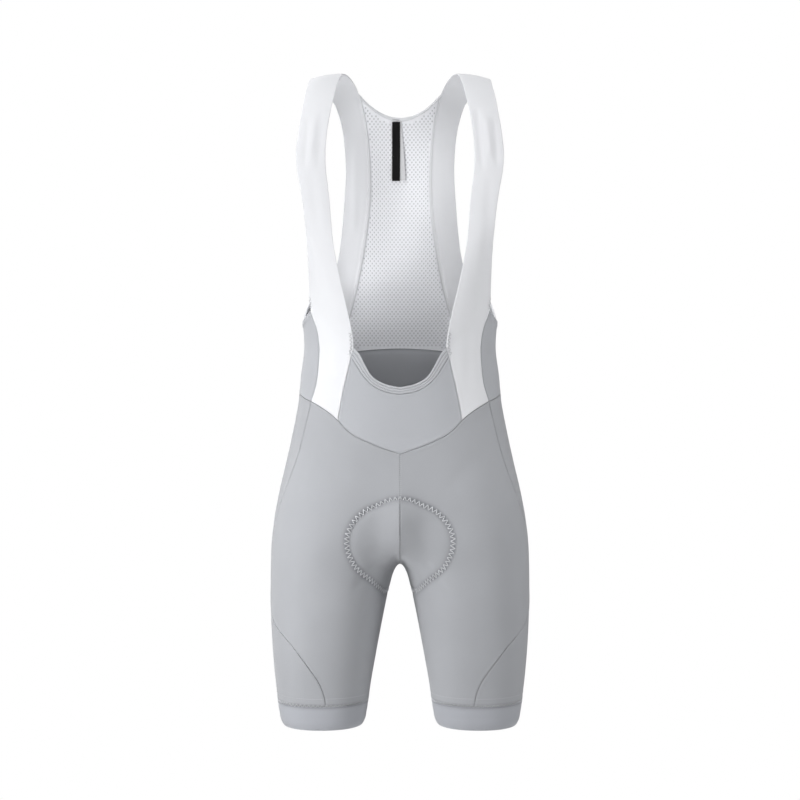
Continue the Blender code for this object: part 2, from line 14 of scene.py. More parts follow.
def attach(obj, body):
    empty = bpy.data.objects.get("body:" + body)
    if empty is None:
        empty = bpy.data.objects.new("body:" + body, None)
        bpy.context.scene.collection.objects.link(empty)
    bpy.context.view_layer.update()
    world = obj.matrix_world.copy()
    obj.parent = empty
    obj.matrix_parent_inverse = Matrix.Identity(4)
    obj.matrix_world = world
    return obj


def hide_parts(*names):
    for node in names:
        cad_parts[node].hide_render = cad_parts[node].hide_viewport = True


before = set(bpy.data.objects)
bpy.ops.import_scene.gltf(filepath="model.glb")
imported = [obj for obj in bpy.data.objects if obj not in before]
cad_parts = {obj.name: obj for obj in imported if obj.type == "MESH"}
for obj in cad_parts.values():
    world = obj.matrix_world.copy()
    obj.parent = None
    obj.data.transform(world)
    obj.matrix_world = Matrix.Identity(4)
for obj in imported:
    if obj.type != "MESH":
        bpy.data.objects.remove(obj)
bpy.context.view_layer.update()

# Walls and seams.
WALL = 0.0013
MESH_WALL = 0.0010
BINDING_WALL = 0.0022
LABEL_WALL = 0.0005
# Tapes inside lie this far from the cloth.
TAPE_GAP = 0.0002
# Roundings of free edges.
EDGE_SOFT = 0.0003
BAND_EDGE_SOFT = 0.0004
LABEL_EDGE_SOFT = 0.00012
# Points closer than this are merged.
SAME_POINT = 0.00001

# General form. The fold is how closely the two halves of a section meet at the middle.
FOLD = 0.016
ROUNDNESS = 2.15
# Heights of the crotch, of the seam above the leg band and of the leg's free edge.
CROTCH = -0.666
HEM_SEAM = -0.851
HEM = -0.8855
# height, centre, half_width, front, back
FORM = (
    (-0.335, 0.0, 0.134, 0.097, 0.102), (-0.374, 0.0, 0.132, 0.098, 0.094),
    (-0.41, 0.0, 0.1365, 0.099, 0.096), (-0.443, 0.005, 0.1343, 0.101, 0.1),
    (-0.484, 0.021, 0.1258, 0.104, 0.11), (-0.525, 0.0412, 0.1144, 0.106, 0.12),
    (-0.566, 0.0616, 0.1036, 0.108, 0.127), (-0.607, 0.0783, 0.0944, 0.106, 0.127),
    (-0.63, 0.0863, 0.0889, 0.104, 0.123), (-0.648, 0.092, 0.0844, 0.101, 0.118),
    (-0.666, 0.0966, 0.0806, 0.098, 0.112), (-0.676, 0.098, 0.0794, 0.097, 0.11),
    (-0.717, 0.1012, 0.0762, 0.092, 0.1), (-0.758, 0.1039, 0.0722, 0.086, 0.092),
    (-0.799, 0.1059, 0.0675, 0.079, 0.084), (-0.826, 0.1068, 0.064, 0.073, 0.078),
    (-0.854, 0.107, 0.0603, 0.067, 0.071), (-0.887, 0.1069, 0.0549, 0.061, 0.065),
)

# The cloth is full over the pad in front and spans the dip between the halves behind.
# height, fullness in front, fullness behind
FULLNESS = (
    (-0.49, 0.0, 0.0), (-0.525, 0.004, 0.001), (-0.566, 0.013, 0.004), (-0.607, 0.03, 0.01),
    (-0.635, 0.034, 0.013), (-0.655, 0.026, 0.012), (-0.675, 0.01, 0.005), (-0.7, 0.0, 0.0),
)
FULL_REACH = 0.030
FULL_CREASE = 0.005
FULL_FROM = 0.012
FULL_WHOLE = 0.055

# Cut lines. Angles go round a section: 0 at the outer side, -90 in front, 90 behind.
# height, angle
SIDE_SEAM = (
    (-0.4449, -26.3), (-0.48, -28.0), (-0.51, -29.9), (-0.56, -29.0), (-0.5975, -22.0),
    (-0.64, -6.0), (-0.675, 4.0), (-0.71, -4.0), (-0.735, -22.0), (-0.7571, -50.0),
    (-0.7939, -75.5), (-0.8278, -91.6), (-0.851, -96.0),
)
# across, height of the waist seam in front
WAIST_FRONT = (
    (0.0, -0.5137), (0.0371, -0.5005), (0.0714, -0.4811), (0.0822, -0.4693), (0.0982, -0.4569),
    (0.1189, -0.4449),
)
# angle, height of the waist seam round the side and back
WAIST_BACK = (
    (-26.3, -0.4449), (-7.4, -0.4355), (30.0, -0.4315), (90.0, -0.43),
)
# height, across
STRAP_SEAM_INNER = (
    (-0.4693, 0.0819), (-0.4338, 0.0757), (-0.4034, 0.0684), (-0.3771, 0.0625),
)
STRAP_SEAM_OUTER = (
    (-0.4449, 0.1189), (-0.4217, 0.112), (-0.3976, 0.1091), (-0.3736, 0.108), (-0.3556, 0.11),
    (-0.3372, 0.1149), (-0.3234, 0.1206),
)
# share of the bib's half width, height of its top edge
BIB_TOP = (
    (0.0, -0.4353), (0.33, -0.4315), (0.55, -0.424), (0.75, -0.411), (0.9, -0.396), (1.0, -0.386),
)
# share of the neck's half width, height of the open edge
NECK_EDGE = (
    (0.0, -0.426), (0.3, -0.4224), (0.64, -0.4085), (0.9, -0.38), (1.0, -0.374),
)
NECK_HALF = 0.0612

# Strap from the bib's corner over the shoulder to the mesh corner at the back of the neck.
# inner x, y, z, outer x, y, z, crown
STRAP_OVER = (
    (0.064, -0.0935, -0.35, 0.1225, -0.056, -0.305, 0.005),
    (0.0757, -0.098, -0.298, 0.1226, -0.072, -0.28, 0.0042),
    (0.0864, -0.096, -0.245, 0.1234, -0.085, -0.24, 0.003),
    (0.0925, -0.093, -0.18, 0.129, -0.09, -0.18, 0.0022),
    (0.0982, -0.088, -0.125, 0.1375, -0.086, -0.125, 0.002),
    (0.0959, -0.08, -0.084, 0.1354, -0.079, -0.09, 0.002),
    (0.0913, -0.068, -0.055, 0.1316, -0.068, -0.062, 0.002),
    (0.0869, -0.052, -0.03, 0.1284, -0.053, -0.038, 0.002),
    (0.083, -0.032, -0.011, 0.125, -0.033, -0.018, 0.002),
    (0.076, 0.0, 0.0048, 0.1205, 0.0, -0.003, 0.002),
    (0.067, 0.025, 0.001, 0.1075, 0.023, -0.011, 0.002),
    (0.0576, 0.052, -0.0143, 0.0916, 0.045, -0.0306, 0.0018),
)
# Strap down the back, along the mesh seam, to the yoke.
STRAP_BACK = (
    (0.0576, 0.052, -0.0143, 0.0916, 0.045, -0.0306, 0.0018),
    (0.0509, 0.075, -0.041, 0.0825, 0.068, -0.0568, 0.0016),
    (0.0476, 0.086, -0.066, 0.0795, 0.079, -0.078, 0.0014),
    (0.0448, 0.097, -0.112, 0.0775, 0.091, -0.1155, 0.0012),
    (0.0464, 0.101, -0.1695, 0.0806, 0.0945, -0.1715, 0.0012),
    (0.0522, 0.099, -0.2166, 0.0845, 0.093, -0.215, 0.0014),
    (0.0603, 0.094, -0.265, 0.0915, 0.084, -0.254, 0.0024),
    (0.0687, 0.088, -0.305, 0.108, 0.069, -0.284, 0.0044),
    (0.079, 0.081, -0.34, 0.127, 0.041, -0.307, 0.0068),
    (0.092, 0.0708, -0.378, 0.1338, 0.006, -0.336, 0.0085),
)
# height, depth of the middle of the mesh back
MESH_MIDDLE = (
    (-0.042, 0.084), (-0.08, 0.097), (-0.12, 0.105), (-0.17, 0.1085), (-0.22, 0.107),
    (-0.27, 0.102), (-0.32, 0.097), (-0.3694, 0.0945),
)
MESH_SEAM_DROP = 0.0086
BACK_BINDING_WIDTH = 0.006

# Seat pad. length along the middle line from the crotch, half width
PAD_SHAPE = (
    (-0.15, 0.02), (-0.138, 0.04), (-0.115, 0.062), (-0.088, 0.07), (-0.05, 0.056), (0.0, 0.04),
    (0.045, 0.054), (0.085, 0.074), (0.12, 0.079), (0.15, 0.068), (0.17, 0.042), (0.18, 0.02),
)
PAD_THICK = 0.0065
PAD_EDGE = 0.0018
PAD_GAP = 0.0014
PAD_ROWS = 18
PAD_COLUMNS = 12
# Pad rows lie closer together near its two ends; 0 would be closest.
PAD_ENDS = 0.12

# How finely each piece is divided. Pieces that meet share these counts.
STRAP_COLUMNS = 4
BIB_HALF = 8
BACK_COLUMNS = 14
ARM_COLUMNS = 4
MESH_HALF = BACK_COLUMNS - ARM_COLUMNS - STRAP_COLUMNS
UPPER_ROWS = 14
LOWER_ROWS = 10
BIB_ROWS = 4
YOKE_ROWS = 5
OVER_ROWS = 19
BACK_ROWS = 16
# Points of a finely divided line, and the steps of the searches on the form.
FINE = 240
PROBE = 0.0002
SETTLE_ROUNDS = 4
WALK_STEPS = 3
# Leg rows leave the waist seam's own spacing within this share of the way to the crotch.
SETTLED_BY = 0.625
# Rows over which a strap eases away from the body.
EASE_ROWS = 6

# Cloth grids: how far the close rows lie from an edge, and how far apart the rest are.
EDGE_ROWS = (0.0, 0.0005, 0.0011, 0.0018, 0.0027, 0.0038, 0.0054, 0.0075)
# Fine grids have this many times the rows and columns of the part's grids.
FINER = 8
PAD_FINER = 4
LEG_PITCH = 0.0029
PANEL_PITCH = 0.0027
STRAP_PITCH = 0.0030
NECK_BAND_PITCH = 0.0022
BAND_POINTS = 180
BAND_STOPS = 9
NAPE_POINTS = 60
NAPE_ROWS = 13
NAPE_MIDDLE = NAPE_ROWS // 2
LABEL_ROWS = 41
LABEL_COLUMNS = 13

# Sewn edges dip in, and the turned cloth behind them stands a little proud.
SEAM_DEPTH = 0.00060
SEAM_REACH = 0.0007
SEAM_RIDGE = 0.00035
SEAM_RIDGE_AT = 0.0034
SEAM_RIDGE_REACH = 0.0019
# The centre front seam has this share of a seam's relief and of its painted shade.
CENTRE_SHARE = 0.4
CUT_EDGE_ROLL = 0.0004
# A seam of the straps or the arm edge begins or ends softly between two places.
YOKE_SEAM_FADE = (0.318, 0.326)
BIB_SEAM_FADE = (0.368, 0.376)
MESH_SEAM_FADE = (0.048, 0.056)
ARM_FADE = 0.010
# The arm edge is turned over to a step, with the groove of its stitching before it.
TURNED_WIDTH = 0.0085
TURNED_STEP = 0.0006
TURNED_STEP_REACH = 0.0008
TURNED_GROOVE = 0.0004
TURNED_GROOVE_AT = 0.78
TURNED_GROOVE_REACH = 0.0007
# The elastic band swells between its edges, has low grip lines and turns in at the hem.
BAND_ROUND = 0.0090
BAND_TURN_IN = 0.0026
BAND_SWELL = 0.0006
BAND_GRIP = 0.00012
BAND_GRIP_LINES = 3
# The cloth has painted shade this far from the seam above the band.
HEM_SHADE_REACH = 0.0027
# Both neck bindings are folded round the edge and stitched down in rounded ridges.
NECK_RIDGE = 0.00075
NECK_RIDGES = 3
# Painted shade in the grooves between the front binding's ridges, at this strength.
NECK_GROOVE_SHADE = 0.8
NAPE_LIFT = 0.0001
NAPE_RIDGE = 0.0006
NAPE_RIDGE_START = 0.08
NAPE_RIDGES = 1.85
# Troughs keep this share of their squared depth at their ends.
BODY_CREASE_ENDS = 0.15
STRAP_CREASE_ENDS = 0.1

# Soft troughs and ridges in the body cloth.
# across, height, across, height, side (front -1, back 1), half width, depth
CREASES = (
    (0.0, -0.59, 0.0, -0.656, -1, 0.022, 0.0013), (0.024, -0.6, 0.038, -0.664, -1, 0.019, -0.0014),
    (-0.028, -0.63, -0.044, -0.682, -1, 0.015, -0.0013),
    (0.03, -0.655, 0.064, -0.7, -1, 0.006, -0.0016),
    (0.024, -0.668, 0.046, -0.728, -1, 0.005, -0.0011),
    (-0.028, -0.657, -0.06, -0.694, -1, 0.0065, -0.0019),
    (-0.026, -0.676, -0.052, -0.742, -1, 0.0045, -0.0009),
    (0.1, -0.52, 0.06, -0.56, -1, 0.012, -0.001),
    (-0.104, -0.505, -0.07, -0.552, -1, 0.014, -0.0012),
    (0.12, -0.7, 0.074, -0.716, -1, 0.011, 0.0007),
    (-0.13, -0.735, -0.078, -0.72, -1, 0.012, 0.0008),
    (0.028, -0.64, 0.095, -0.664, 1, 0.007, -0.0021),
    (0.03, -0.664, 0.085, -0.7, 1, 0.006, -0.0016),
    (-0.026, -0.644, -0.088, -0.66, 1, 0.0065, -0.0018),
    (-0.032, -0.668, -0.094, -0.712, 1, 0.007, -0.002),
    (0.018, -0.56, 0.06, -0.59, 1, 0.01, -0.0012),
    (-0.016, -0.552, -0.072, -0.596, 1, 0.011, -0.0014),
    (0.06, -0.444, 0.12, -0.462, 1, 0.009, -0.0011),
    (-0.05, -0.44, -0.116, -0.47, 1, 0.01, -0.0013),
    (0.13, -0.79, 0.07, -0.802, 1, 0.009, -0.0012),
    (-0.124, -0.806, -0.074, -0.794, 1, 0.008, -0.001),
)
# Soft troughs and ridges along a strap.
# side (left 1, right -1), from row share, to row share, column share, half width, depth
STRAP_CREASES = (
    (-1, 0.355, 0.425, 0.3, 0.0045, -0.0016), (-1, 0.365, 0.415, 0.52, 0.004, 0.0012),
    (-1, 0.35, 0.43, 0.7, 0.005, -0.0012), (1, 0.355, 0.435, 0.7, 0.0045, -0.0028),
    (1, 0.365, 0.42, 0.48, 0.004, 0.002), (1, 0.36, 0.425, 0.26, 0.004, -0.0024),
    (-1, 0.27, 0.34, 0.5, 0.007, -0.0012), (1, 0.22, 0.33, 0.42, 0.007, -0.002),
    (1, 0.66, 0.78, 0.4, 0.0065, -0.0015), (-1, 0.68, 0.8, 0.52, 0.006, -0.0016),
    (-1, 0.06, 0.16, 0.45, 0.008, -0.0011), (1, 0.05, 0.17, 0.55, 0.008, -0.0012),
)

# Zigzag stitching that holds the pad, left half. across, height
RING_FRONT = (
    (0.0, -0.5717), (0.0134, -0.5736), (0.0283, -0.58), (0.0455, -0.588), (0.0575, -0.5985),
    (0.0655, -0.6105), (0.0692, -0.622), (0.0697, -0.632), (0.068, -0.643), (0.0638, -0.654),
    (0.058, -0.664), (0.05, -0.6725), (0.0398, -0.6815), (0.03, -0.692), (0.0225, -0.701),
)
RING_BACK = (
    (0.0, -0.555), (0.02, -0.5565), (0.04, -0.563), (0.056, -0.5745), (0.067, -0.59),
    (0.0735, -0.608), (0.0745, -0.626), (0.07, -0.644), (0.061, -0.66), (0.049, -0.674),
    (0.037, -0.688), (0.0265, -0.701),
)
RING_WIDTH = 0.0072
RING_PITCH = 0.0063
RING_THREAD = 0.00055
RING_LIFT = 0.0004
RING_DENT = 0.0007
RING_DENT_REACH = 0.0042
RING_MARGIN = 0.02
# Painted shade on the cloth beside the pad's stitching.
RING_SHADE = 0.90
# The pad lifts the cloth inside the stitching. The lift fades in beside it.
PAD_RISE = 0.0012
PAD_RISE_FADE = (0.002, 0.014)
PAD_RISE_WIDEST = 0.08
# The legs' relief goes no deeper than the first, and the pad clears it by lying deeper.
RELIEF_LEAST = -0.0028
PAD_CLEAR = 0.0022
# Pressed channels along the pad: place and reach in shares of its half width, and depth.
CHANNEL_AT = 0.34
CHANNEL_REACH = 0.07
CHANNEL_DEPTH = 0.0022
# They fade out over the last stretch before this share of the half length.
CHANNEL_END = 0.8
CHANNEL_FADE = 0.2

# Perforated mesh: holes lie on a staggered lattice.
HOLE_PITCH = 0.0057
HOLE_FALL = 0.0069
HOLE_CUT = 0.0013
HOLE_RIM = 0.00118
SELVEDGE = 0.0042
SOLVE_ROUNDS = 12
# The plate of cells reaches past the seams, and up under the binding.
PLATE_MARGIN = 0.002
PLATE_TUCK = 0.001
# A grey sheet of painted shade fills the holes: it lies at this share of the mesh's wall, inside its
# edges.
HOLE_SHADE_DEPTH = 0.55
HOLE_SHADE_COLUMNS = 41
HOLE_SHADE_ROWS = 91
HOLE_SHADE_INSET = 0.001
HOLE_SHADE_ROW_INSET = 0.2

# Straight stitches: pitch, gap.
SEAM_STITCH = (0.0026, 0.0006)
LOW_STITCH = (0.0030, 0.0008)
COVER_STITCH = (0.0032, 0.0002)
NECK_STITCH = (0.0022, 0.0004)
NAPE_STITCH = (0.0024, 0.0006)
# Zigzag stitches: pitch, width.
HEM_ZIGZAG = (0.0060, 0.0044)
TACK_ZIGZAG = (0.0052, 0.0044)
LABEL_ZIGZAG = (0.0012, 0.0016)
OVERLOCK = (0.0030, 0.0056)
# Half thicknesses of the threads, and how high the loose ones lie.
THREAD = 0.00032
HEM_THREAD = 0.00052
TACK_THREAD = 0.00040
ZIGZAG_LIFT = 0.0005
COVER_LIFT = 0.0001
# A stitch's bead: how blunt its ends are, its flatness, and its lift in half thicknesses.
BEAD_BLUNT = 0.6
BEAD_FLAT = 0.8
BEAD_LIFT = 0.35
# The covering stitches start this far below the pad's stitching, in front of this depth.
COVER_START = 0.004
COVER_DEPTH = -0.01
# Grid rows or columns beside a seam, and beside the turned arm edge, that are stitched.
NEAR_SEAM = 2
FAR_SEAM = -3
LOW_ROW = -9
ARM_ROWS = (6, 7)
# Zigzag tacks on each strap: grid column, lowest, highest.
TACKS = ((5, -0.324, -0.302), (-6, -0.386, -0.354))
# The tack above the pale label: its middle across, half its length.
LABEL_TACK = (-0.0056, 0.0058)
# Seam tapes inside. The arm tape's lines: it runs along the middle one of three grid lines,
# and its way across is from the first to the last.
TAPE_THICK = 0.0007
TAPE_PITCH = 0.004
MESH_TAPE_WIDTH = 0.0050
MESH_TAPE_SHIFT = 0.0010
MESH_TAPE_TO = 8
ARM_TAPE_WIDTH = 0.0082
ARM_TAPE_LINES = (1, 5, 9)
TURNED_FROM = -0.292

# Tapes hanging in the neck.
# name, node, left top, right top, left low, right low, top, low, stand-off, curl, finish
LABELS = (
    ("tape_light", "care_label", -0.0124, 0.0024, -0.0124, 0.0082, -0.0450, -0.1280,
     0.0003, 0.0022, "label_light"),
    ("tape_dark", "size_label", -0.0112, 0.0000, -0.0114, -0.0002, -0.0471, -0.1290,
     0.0018, 0.0006, "label_dark"),
)
LABEL_WAVE = 0.0004

# Colours of the cloths and threads, as linear light.
CLOTH_GREY = (0.372, 0.381, 0.403)
STRAP_WHITE = (0.715, 0.723, 0.747)
PANEL_TONE = (0.415, 0.426, 0.452)
MESH_TONE = (0.850, 0.858, 0.890)
# Painted shade seen in the mesh's holes.
HOLE_SHADE_TONE = (0.560, 0.568, 0.588)
BAND_TONE = (0.385, 0.397, 0.430)
BINDING_TONE = (0.480, 0.490, 0.516)
THREAD_GREY = (0.500, 0.510, 0.535)
THREAD_WHITE = (0.820, 0.825, 0.840)
RING_TONE = (0.650, 0.662, 0.690)
HEM_THREAD_TONE = (0.600, 0.612, 0.640)
TACK_TONE = (0.450, 0.458, 0.476)
TAPE_TONE = (0.800, 0.810, 0.840)
PAD_TONE = (0.330, 0.340, 0.358)
LABEL_BLACK = (0.006, 0.006, 0.0065)
LABEL_WHITE = (0.600, 0.605, 0.620)

CAMERA_PLACE = (0.0, -2.3, -0.443)
CAMERA_LENS = 75.5
# name, place, size, watts; each aims at the garment's middle
LIGHTS = (
    ("front", (0.0, -3.0, -0.1), 1.5, 10.4), ("left_near", (-0.75, -0.6, -0.65), 0.3, 4.8),
    ("right_near", (0.95, -0.5, -0.3), 0.3, 4.2), ("left_upper", (-0.8, -0.8, 0.2), 0.3, 1.1),
    ("left_low", (-1.8, -1.6, -1.0), 1.0, 13.6), ("right_side", (2.4, -0.3, -0.3), 1.2, 10.4),
    ("above", (0.0, -0.4, 1.6), 1.0, 5.4), ("left_above", (-0.6, -0.6, 1.5), 0.6, 14.0),
    ("left_high", (-0.9, -1.2, 1.4), 0.8, 12.7), ("right_high", (1.4, -1.2, 1.3), 0.8, 2.4),
    ("behind", (-1.3, 1.4, 0.9), 1.0, 22.9), ("behind_level", (0.0, 2.4, -0.3), 1.2, 9.0),
)
LIGHTS_AIM = (0.0, 0.0, -0.4)
WORLD_LIGHT = 0.05
FLOOR = -1.35
FLOOR_HALF = 1.3


def through(table, keys):
    """Read a table's other columns at the given first-column values, smoothly."""
    rows = np.array(sorted(map(tuple, table)), float)
    known = rows[:, 0]
    keys = np.clip(np.asarray(keys, float), known[0], known[-1])
    at = np.clip(np.searchsorted(known, keys, side="right") - 1, 0, len(known) - 2)
    step = known[at + 1] - known[at]
    t = (keys - known[at]) / step
    columns = []
    for values in rows[:, 1:].T:
        slope = np.gradient(values, known)
        start = (1 + 2 * t) * (1 - t) ** 2 * values[at] + t * (1 - t) ** 2 * step * slope[at]
        end = t * t * (3 - 2 * t) * values[at + 1] - t * t * (1 - t) * step * slope[at + 1]
        columns.append(start + end)
    return columns


def section(z):
    """Centre, half width, front depth and back depth of the form at a height."""
    return through(FORM, z)


def on_form(angle, z):
    """Points on the left half of the form at angles in degrees and heights."""
    centre, half, front, back = section(z)
    turn = np.radians(angle)
    depth = np.where(np.sin(turn) < 0, front, back)
    reach = (np.abs(np.cos(turn) / half) ** ROUNDNESS
             + np.abs(np.sin(turn) / depth) ** ROUNDNESS) ** (-1 / ROUNDNESS)
    folded = centre + reach * np.cos(turn)
    x = np.sqrt(np.maximum(folded ** 2 - FOLD ** 2, 0))
    return np.stack([x, reach * np.sin(turn), np.asarray(z) + 0 * x], -1)


def angle_at(x, z, side):
    """Angle of the point at x on the front (side -1) or the back (side 1)."""
    centre, half, front, back = section(z)
    across = (np.sqrt(np.asarray(x) ** 2 + FOLD ** 2) - centre) / half
    rise = np.clip(1 - np.abs(across) ** ROUNDNESS, 0, None) ** (1 / ROUNDNESS)
    depth = front if side < 0 else back
    return np.degrees(np.arctan2(side * rise * depth, across * half))


def at_x(x, z, side):
    """Points of the form at a signed x on the front (side -1) or the back (side 1)."""
    points = on_form(angle_at(x, z, side), z)
    points[..., 0] = x
    return points


def outside(points):
    """How far outside the form the points are, as a share of its size."""
    centre, half, front, back = section(points[..., 2])
    across = (np.sqrt(points[..., 0] ** 2 + FOLD ** 2) - centre) / half
    depth = np.where(points[..., 1] < 0, front, back)
    return np.abs(across) ** ROUNDNESS + np.abs(points[..., 1] / depth) ** ROUNDNESS - 1


def slope_of_form(points):
    """Steepest way out of the form at each point."""
    ways = []
    for axis in np.eye(3) * PROBE:
        ways.append((outside(points + axis) - outside(points - axis)) / (2 * PROBE))
    return np.stack(ways, -1)


def unit(vectors):
    """Vectors of length one."""
    return vectors / np.maximum(np.linalg.norm(vectors, axis=-1, keepdims=True), 1e-9)


def form_outward(points):
    """Outward directions of the form at its points."""
    return unit(slope_of_form(points))


def outward(points):
    """Outward directions of a free grid: along its rows crossed with its columns."""
    along = np.gradient(points, axis=0)
    across = np.gradient(points, axis=1)
    return unit(np.cross(along, across))


def length_of(line):
    """Length of a line of points."""
    return np.linalg.norm(np.diff(line, axis=0), axis=1).sum()


def travelled(line):
    """Distance of each point of a line from its first."""
    return np.append(0, np.linalg.norm(np.diff(line, axis=0), axis=1).cumsum())


def eased(values, start, end):
    """Smooth step from 0 at start to 1 at end."""
    t = np.clip((values - start) / (end - start), 0, 1)
    return t * t * (3 - 2 * t)


def spaced(line, shares, measured=None):
    """Points at shares of a line's length, by all its columns or the measured first ones."""
    run = travelled(line[:, :measured])
    at = np.asarray(shares) * run[-1]
    return np.stack([np.interp(at, run, line[:, k]) for k in range(line.shape[1])], -1)


def mirrored(points):
    """The same points, or directions, on the other side."""
    return points * (-1, 1, 1)


def filled(points):
    """Points pushed out to the cloth's fullness at the middle, in front and behind."""
    x, y, z = np.moveaxis(points, -1, 0)
    front, behind = through(FULLNESS, z)
    full = np.where(y < 0, -front, behind)
    beside = np.exp((FULL_CREASE ** 2 - (np.abs(x) + FULL_CREASE) ** 2) / FULL_REACH ** 2)
    return np.stack([x, y + full * beside * eased(np.abs(y), FULL_FROM, FULL_WHOLE), z], -1)


def waist_front():
    """Waist seam points from the side seam to the centre front."""
    strap = np.linspace(WAIST_FRONT[-1][0], STRAP_SEAM_INNER[0][1], STRAP_COLUMNS + 1)
    bib = np.linspace(STRAP_SEAM_INNER[0][1], 0, BIB_HALF + 1)
    x = np.concatenate([strap, bib[1:]])
    return at_x(x, through(WAIST_FRONT, x)[0], -1)


def waist_back():
    """Angles and heights of the waist seam from the side seam to the centre back."""
    last = angle_at(0, WAIST_BACK[-1][1], 1)
    line_angles = np.linspace(WAIST_BACK[0][0], last, FINE)
    line = on_form(line_angles, through(WAIST_BACK, line_angles)[0])
    angles = spaced(np.column_stack([line, line_angles]), np.linspace(0, 1, BACK_COLUMNS + 1))[:, 3]
    return angles, through(WAIST_BACK, angles)[0]


def middle_heights(top, side):
    """Heights of leg rows down the centre seam, then down the inseam."""
    u = np.linspace(1, 0, FINE)
    heights = CROTCH + (top - CROTCH) * u ** 2
    line = at_x(0 * heights, heights, side)
    upper = spaced(line, np.linspace(0, 1, UPPER_ROWS + 1))[:, 2]
    heights = CROTCH + (HEM_SEAM - CROTCH) * u[::-1] ** 2
    line = on_form(side * 180.0 + 0 * heights, heights)
    lower = spaced(line, np.linspace(0, 1, LOWER_ROWS + 1))[:, 2]
    return np.concatenate([upper, lower[1:]])


def leg_panel(side):
    """Grid of the left leg's front (side -1) or back (side 1) panel, side seam first."""
    rows = UPPER_ROWS + LOWER_ROWS
    if side < 0:
        top = waist_front()
    else:
        top = on_form(*waist_back())
        top[-1, 0] = 0
    columns = len(top) - 1
    outer_heights = np.linspace(SIDE_SEAM[0][0], HEM_SEAM, rows + 1)
    outer_angles = through(SIDE_SEAM, outer_heights)[0]
    inner_heights = middle_heights(top[-1, 2], side)
    top_shares = travelled(top) / length_of(top)
    grid = [top]
    t = np.linspace(0, 1, FINE)
    for i in range(1, rows + 1):
        settled = min(1, i / UPPER_ROWS / SETTLED_BY)
        inner_angle = angle_at(0, inner_heights[i], side) if i < UPPER_ROWS else side * 180.0
        angles = outer_angles[i] + (inner_angle - outer_angles[i]) * t
        bend = (1 - settled) * t + settled * (1 - (1 - t) ** 2)
        heights = outer_heights[i] + (inner_heights[i] - outer_heights[i]) * bend
        line = on_form(angles, heights)
        shares = (1 - settled) * top_shares + settled * np.linspace(0, 1, columns + 1)
        row = spaced(line, shares)
        if i <= UPPER_ROWS:
            row[-1, 0] = 0
        grid.append(row)
    return np.array(grid)


def bib_grid():
    """Grid of the front bib, from its left strap seam to its right one."""
    u = np.linspace(1, -1, 2 * BIB_HALF + 1)
    low = through(WAIST_FRONT, np.abs(u) * STRAP_SEAM_INNER[0][1])[0]
    high = through(BIB_TOP, np.abs(u))[0]
    grid = []
    for share in np.linspace(0, 1, BIB_ROWS + 1):
        z = low + (high - low) * share
        half = through(STRAP_SEAM_INNER, z[0])[0]
        grid.append(at_x(u * half, z, -1))
    return np.array(grid)


def strap_ends(table, count):
    """Inner edge, outer edge and crown of strap rows, evenly spaced along a table."""
    rows = np.array(table)
    middle = (rows[:, 0:3] + rows[:, 3:6]) / 2
    run = travelled(middle)
    keyed = np.column_stack([run, rows]).tolist()
    columns = through(keyed, np.linspace(0, run[-1], count + 1))
    return np.stack(columns[0:3], -1), np.stack(columns[3:6], -1), columns[6]


def strap_grid():
    """Grid of the left strap, outer edge first, from the waist seam to the yoke."""
    share = np.linspace(0, 1, STRAP_COLUMNS + 1)
    bib_side = bib_grid()[:, 0]
    yoke_heights = np.linspace(STRAP_SEAM_OUTER[0][0], STRAP_SEAM_OUTER[-1][0], YOKE_ROWS + 1)
    neck_corner = at_x(NECK_HALF, NECK_EDGE[-1][1], -1)
    inner = np.concatenate([bib_side, neck_corner[None]])
    outer = at_x(through(STRAP_SEAM_OUTER, yoke_heights)[0], yoke_heights, -1)
    sewn = [waist_front()[:STRAP_COLUMNS + 1]]
    for i in range(1, YOKE_ROWS + 1):
        x = outer[i, 0] + (inner[i, 0] - outer[i, 0]) * share
        z = outer[i, 2] + (inner[i, 2] - outer[i, 2]) * share
        sewn.append(at_x(x, z, -1))
    first = np.concatenate([inner[-1], outer[-1], [STRAP_OVER[0][6]]])
    over = strap_ends((tuple(first),) + STRAP_OVER, OVER_ROWS)
    back = strap_ends(STRAP_BACK, BACK_ROWS)
    ends_in = np.concatenate([over[0][1:], back[0][1:]])
    ends_out = np.concatenate([over[1][1:], back[1][1:]])
    crown = np.concatenate([over[2][1:], back[2][1:]])
    along = np.gradient((ends_in + ends_out) / 2, axis=0)
    rise = unit(np.cross(along, ends_in - ends_out))
    free = ends_out[:, None] + (ends_in - ends_out)[:, None] * share[:, None]
    swell = 1 - (2 * share - 1) ** 2
    free = free + rise[:, None] * crown[:, None, None] * swell[:, None]
    grid = np.concatenate([np.array(sewn), free])
    angles = np.degrees(np.arctan2(grid[-1, :, 1], grid[-1, :, 0]))
    ends = angle_at(grid[-1, [0, -1], 0], grid[-1, [0, -1], 2], 1)
    seat = np.interp(angles, angles[[0, -1]], ends)
    grid[-1] = on_form(seat, grid[-1, :, 2])
    return grid


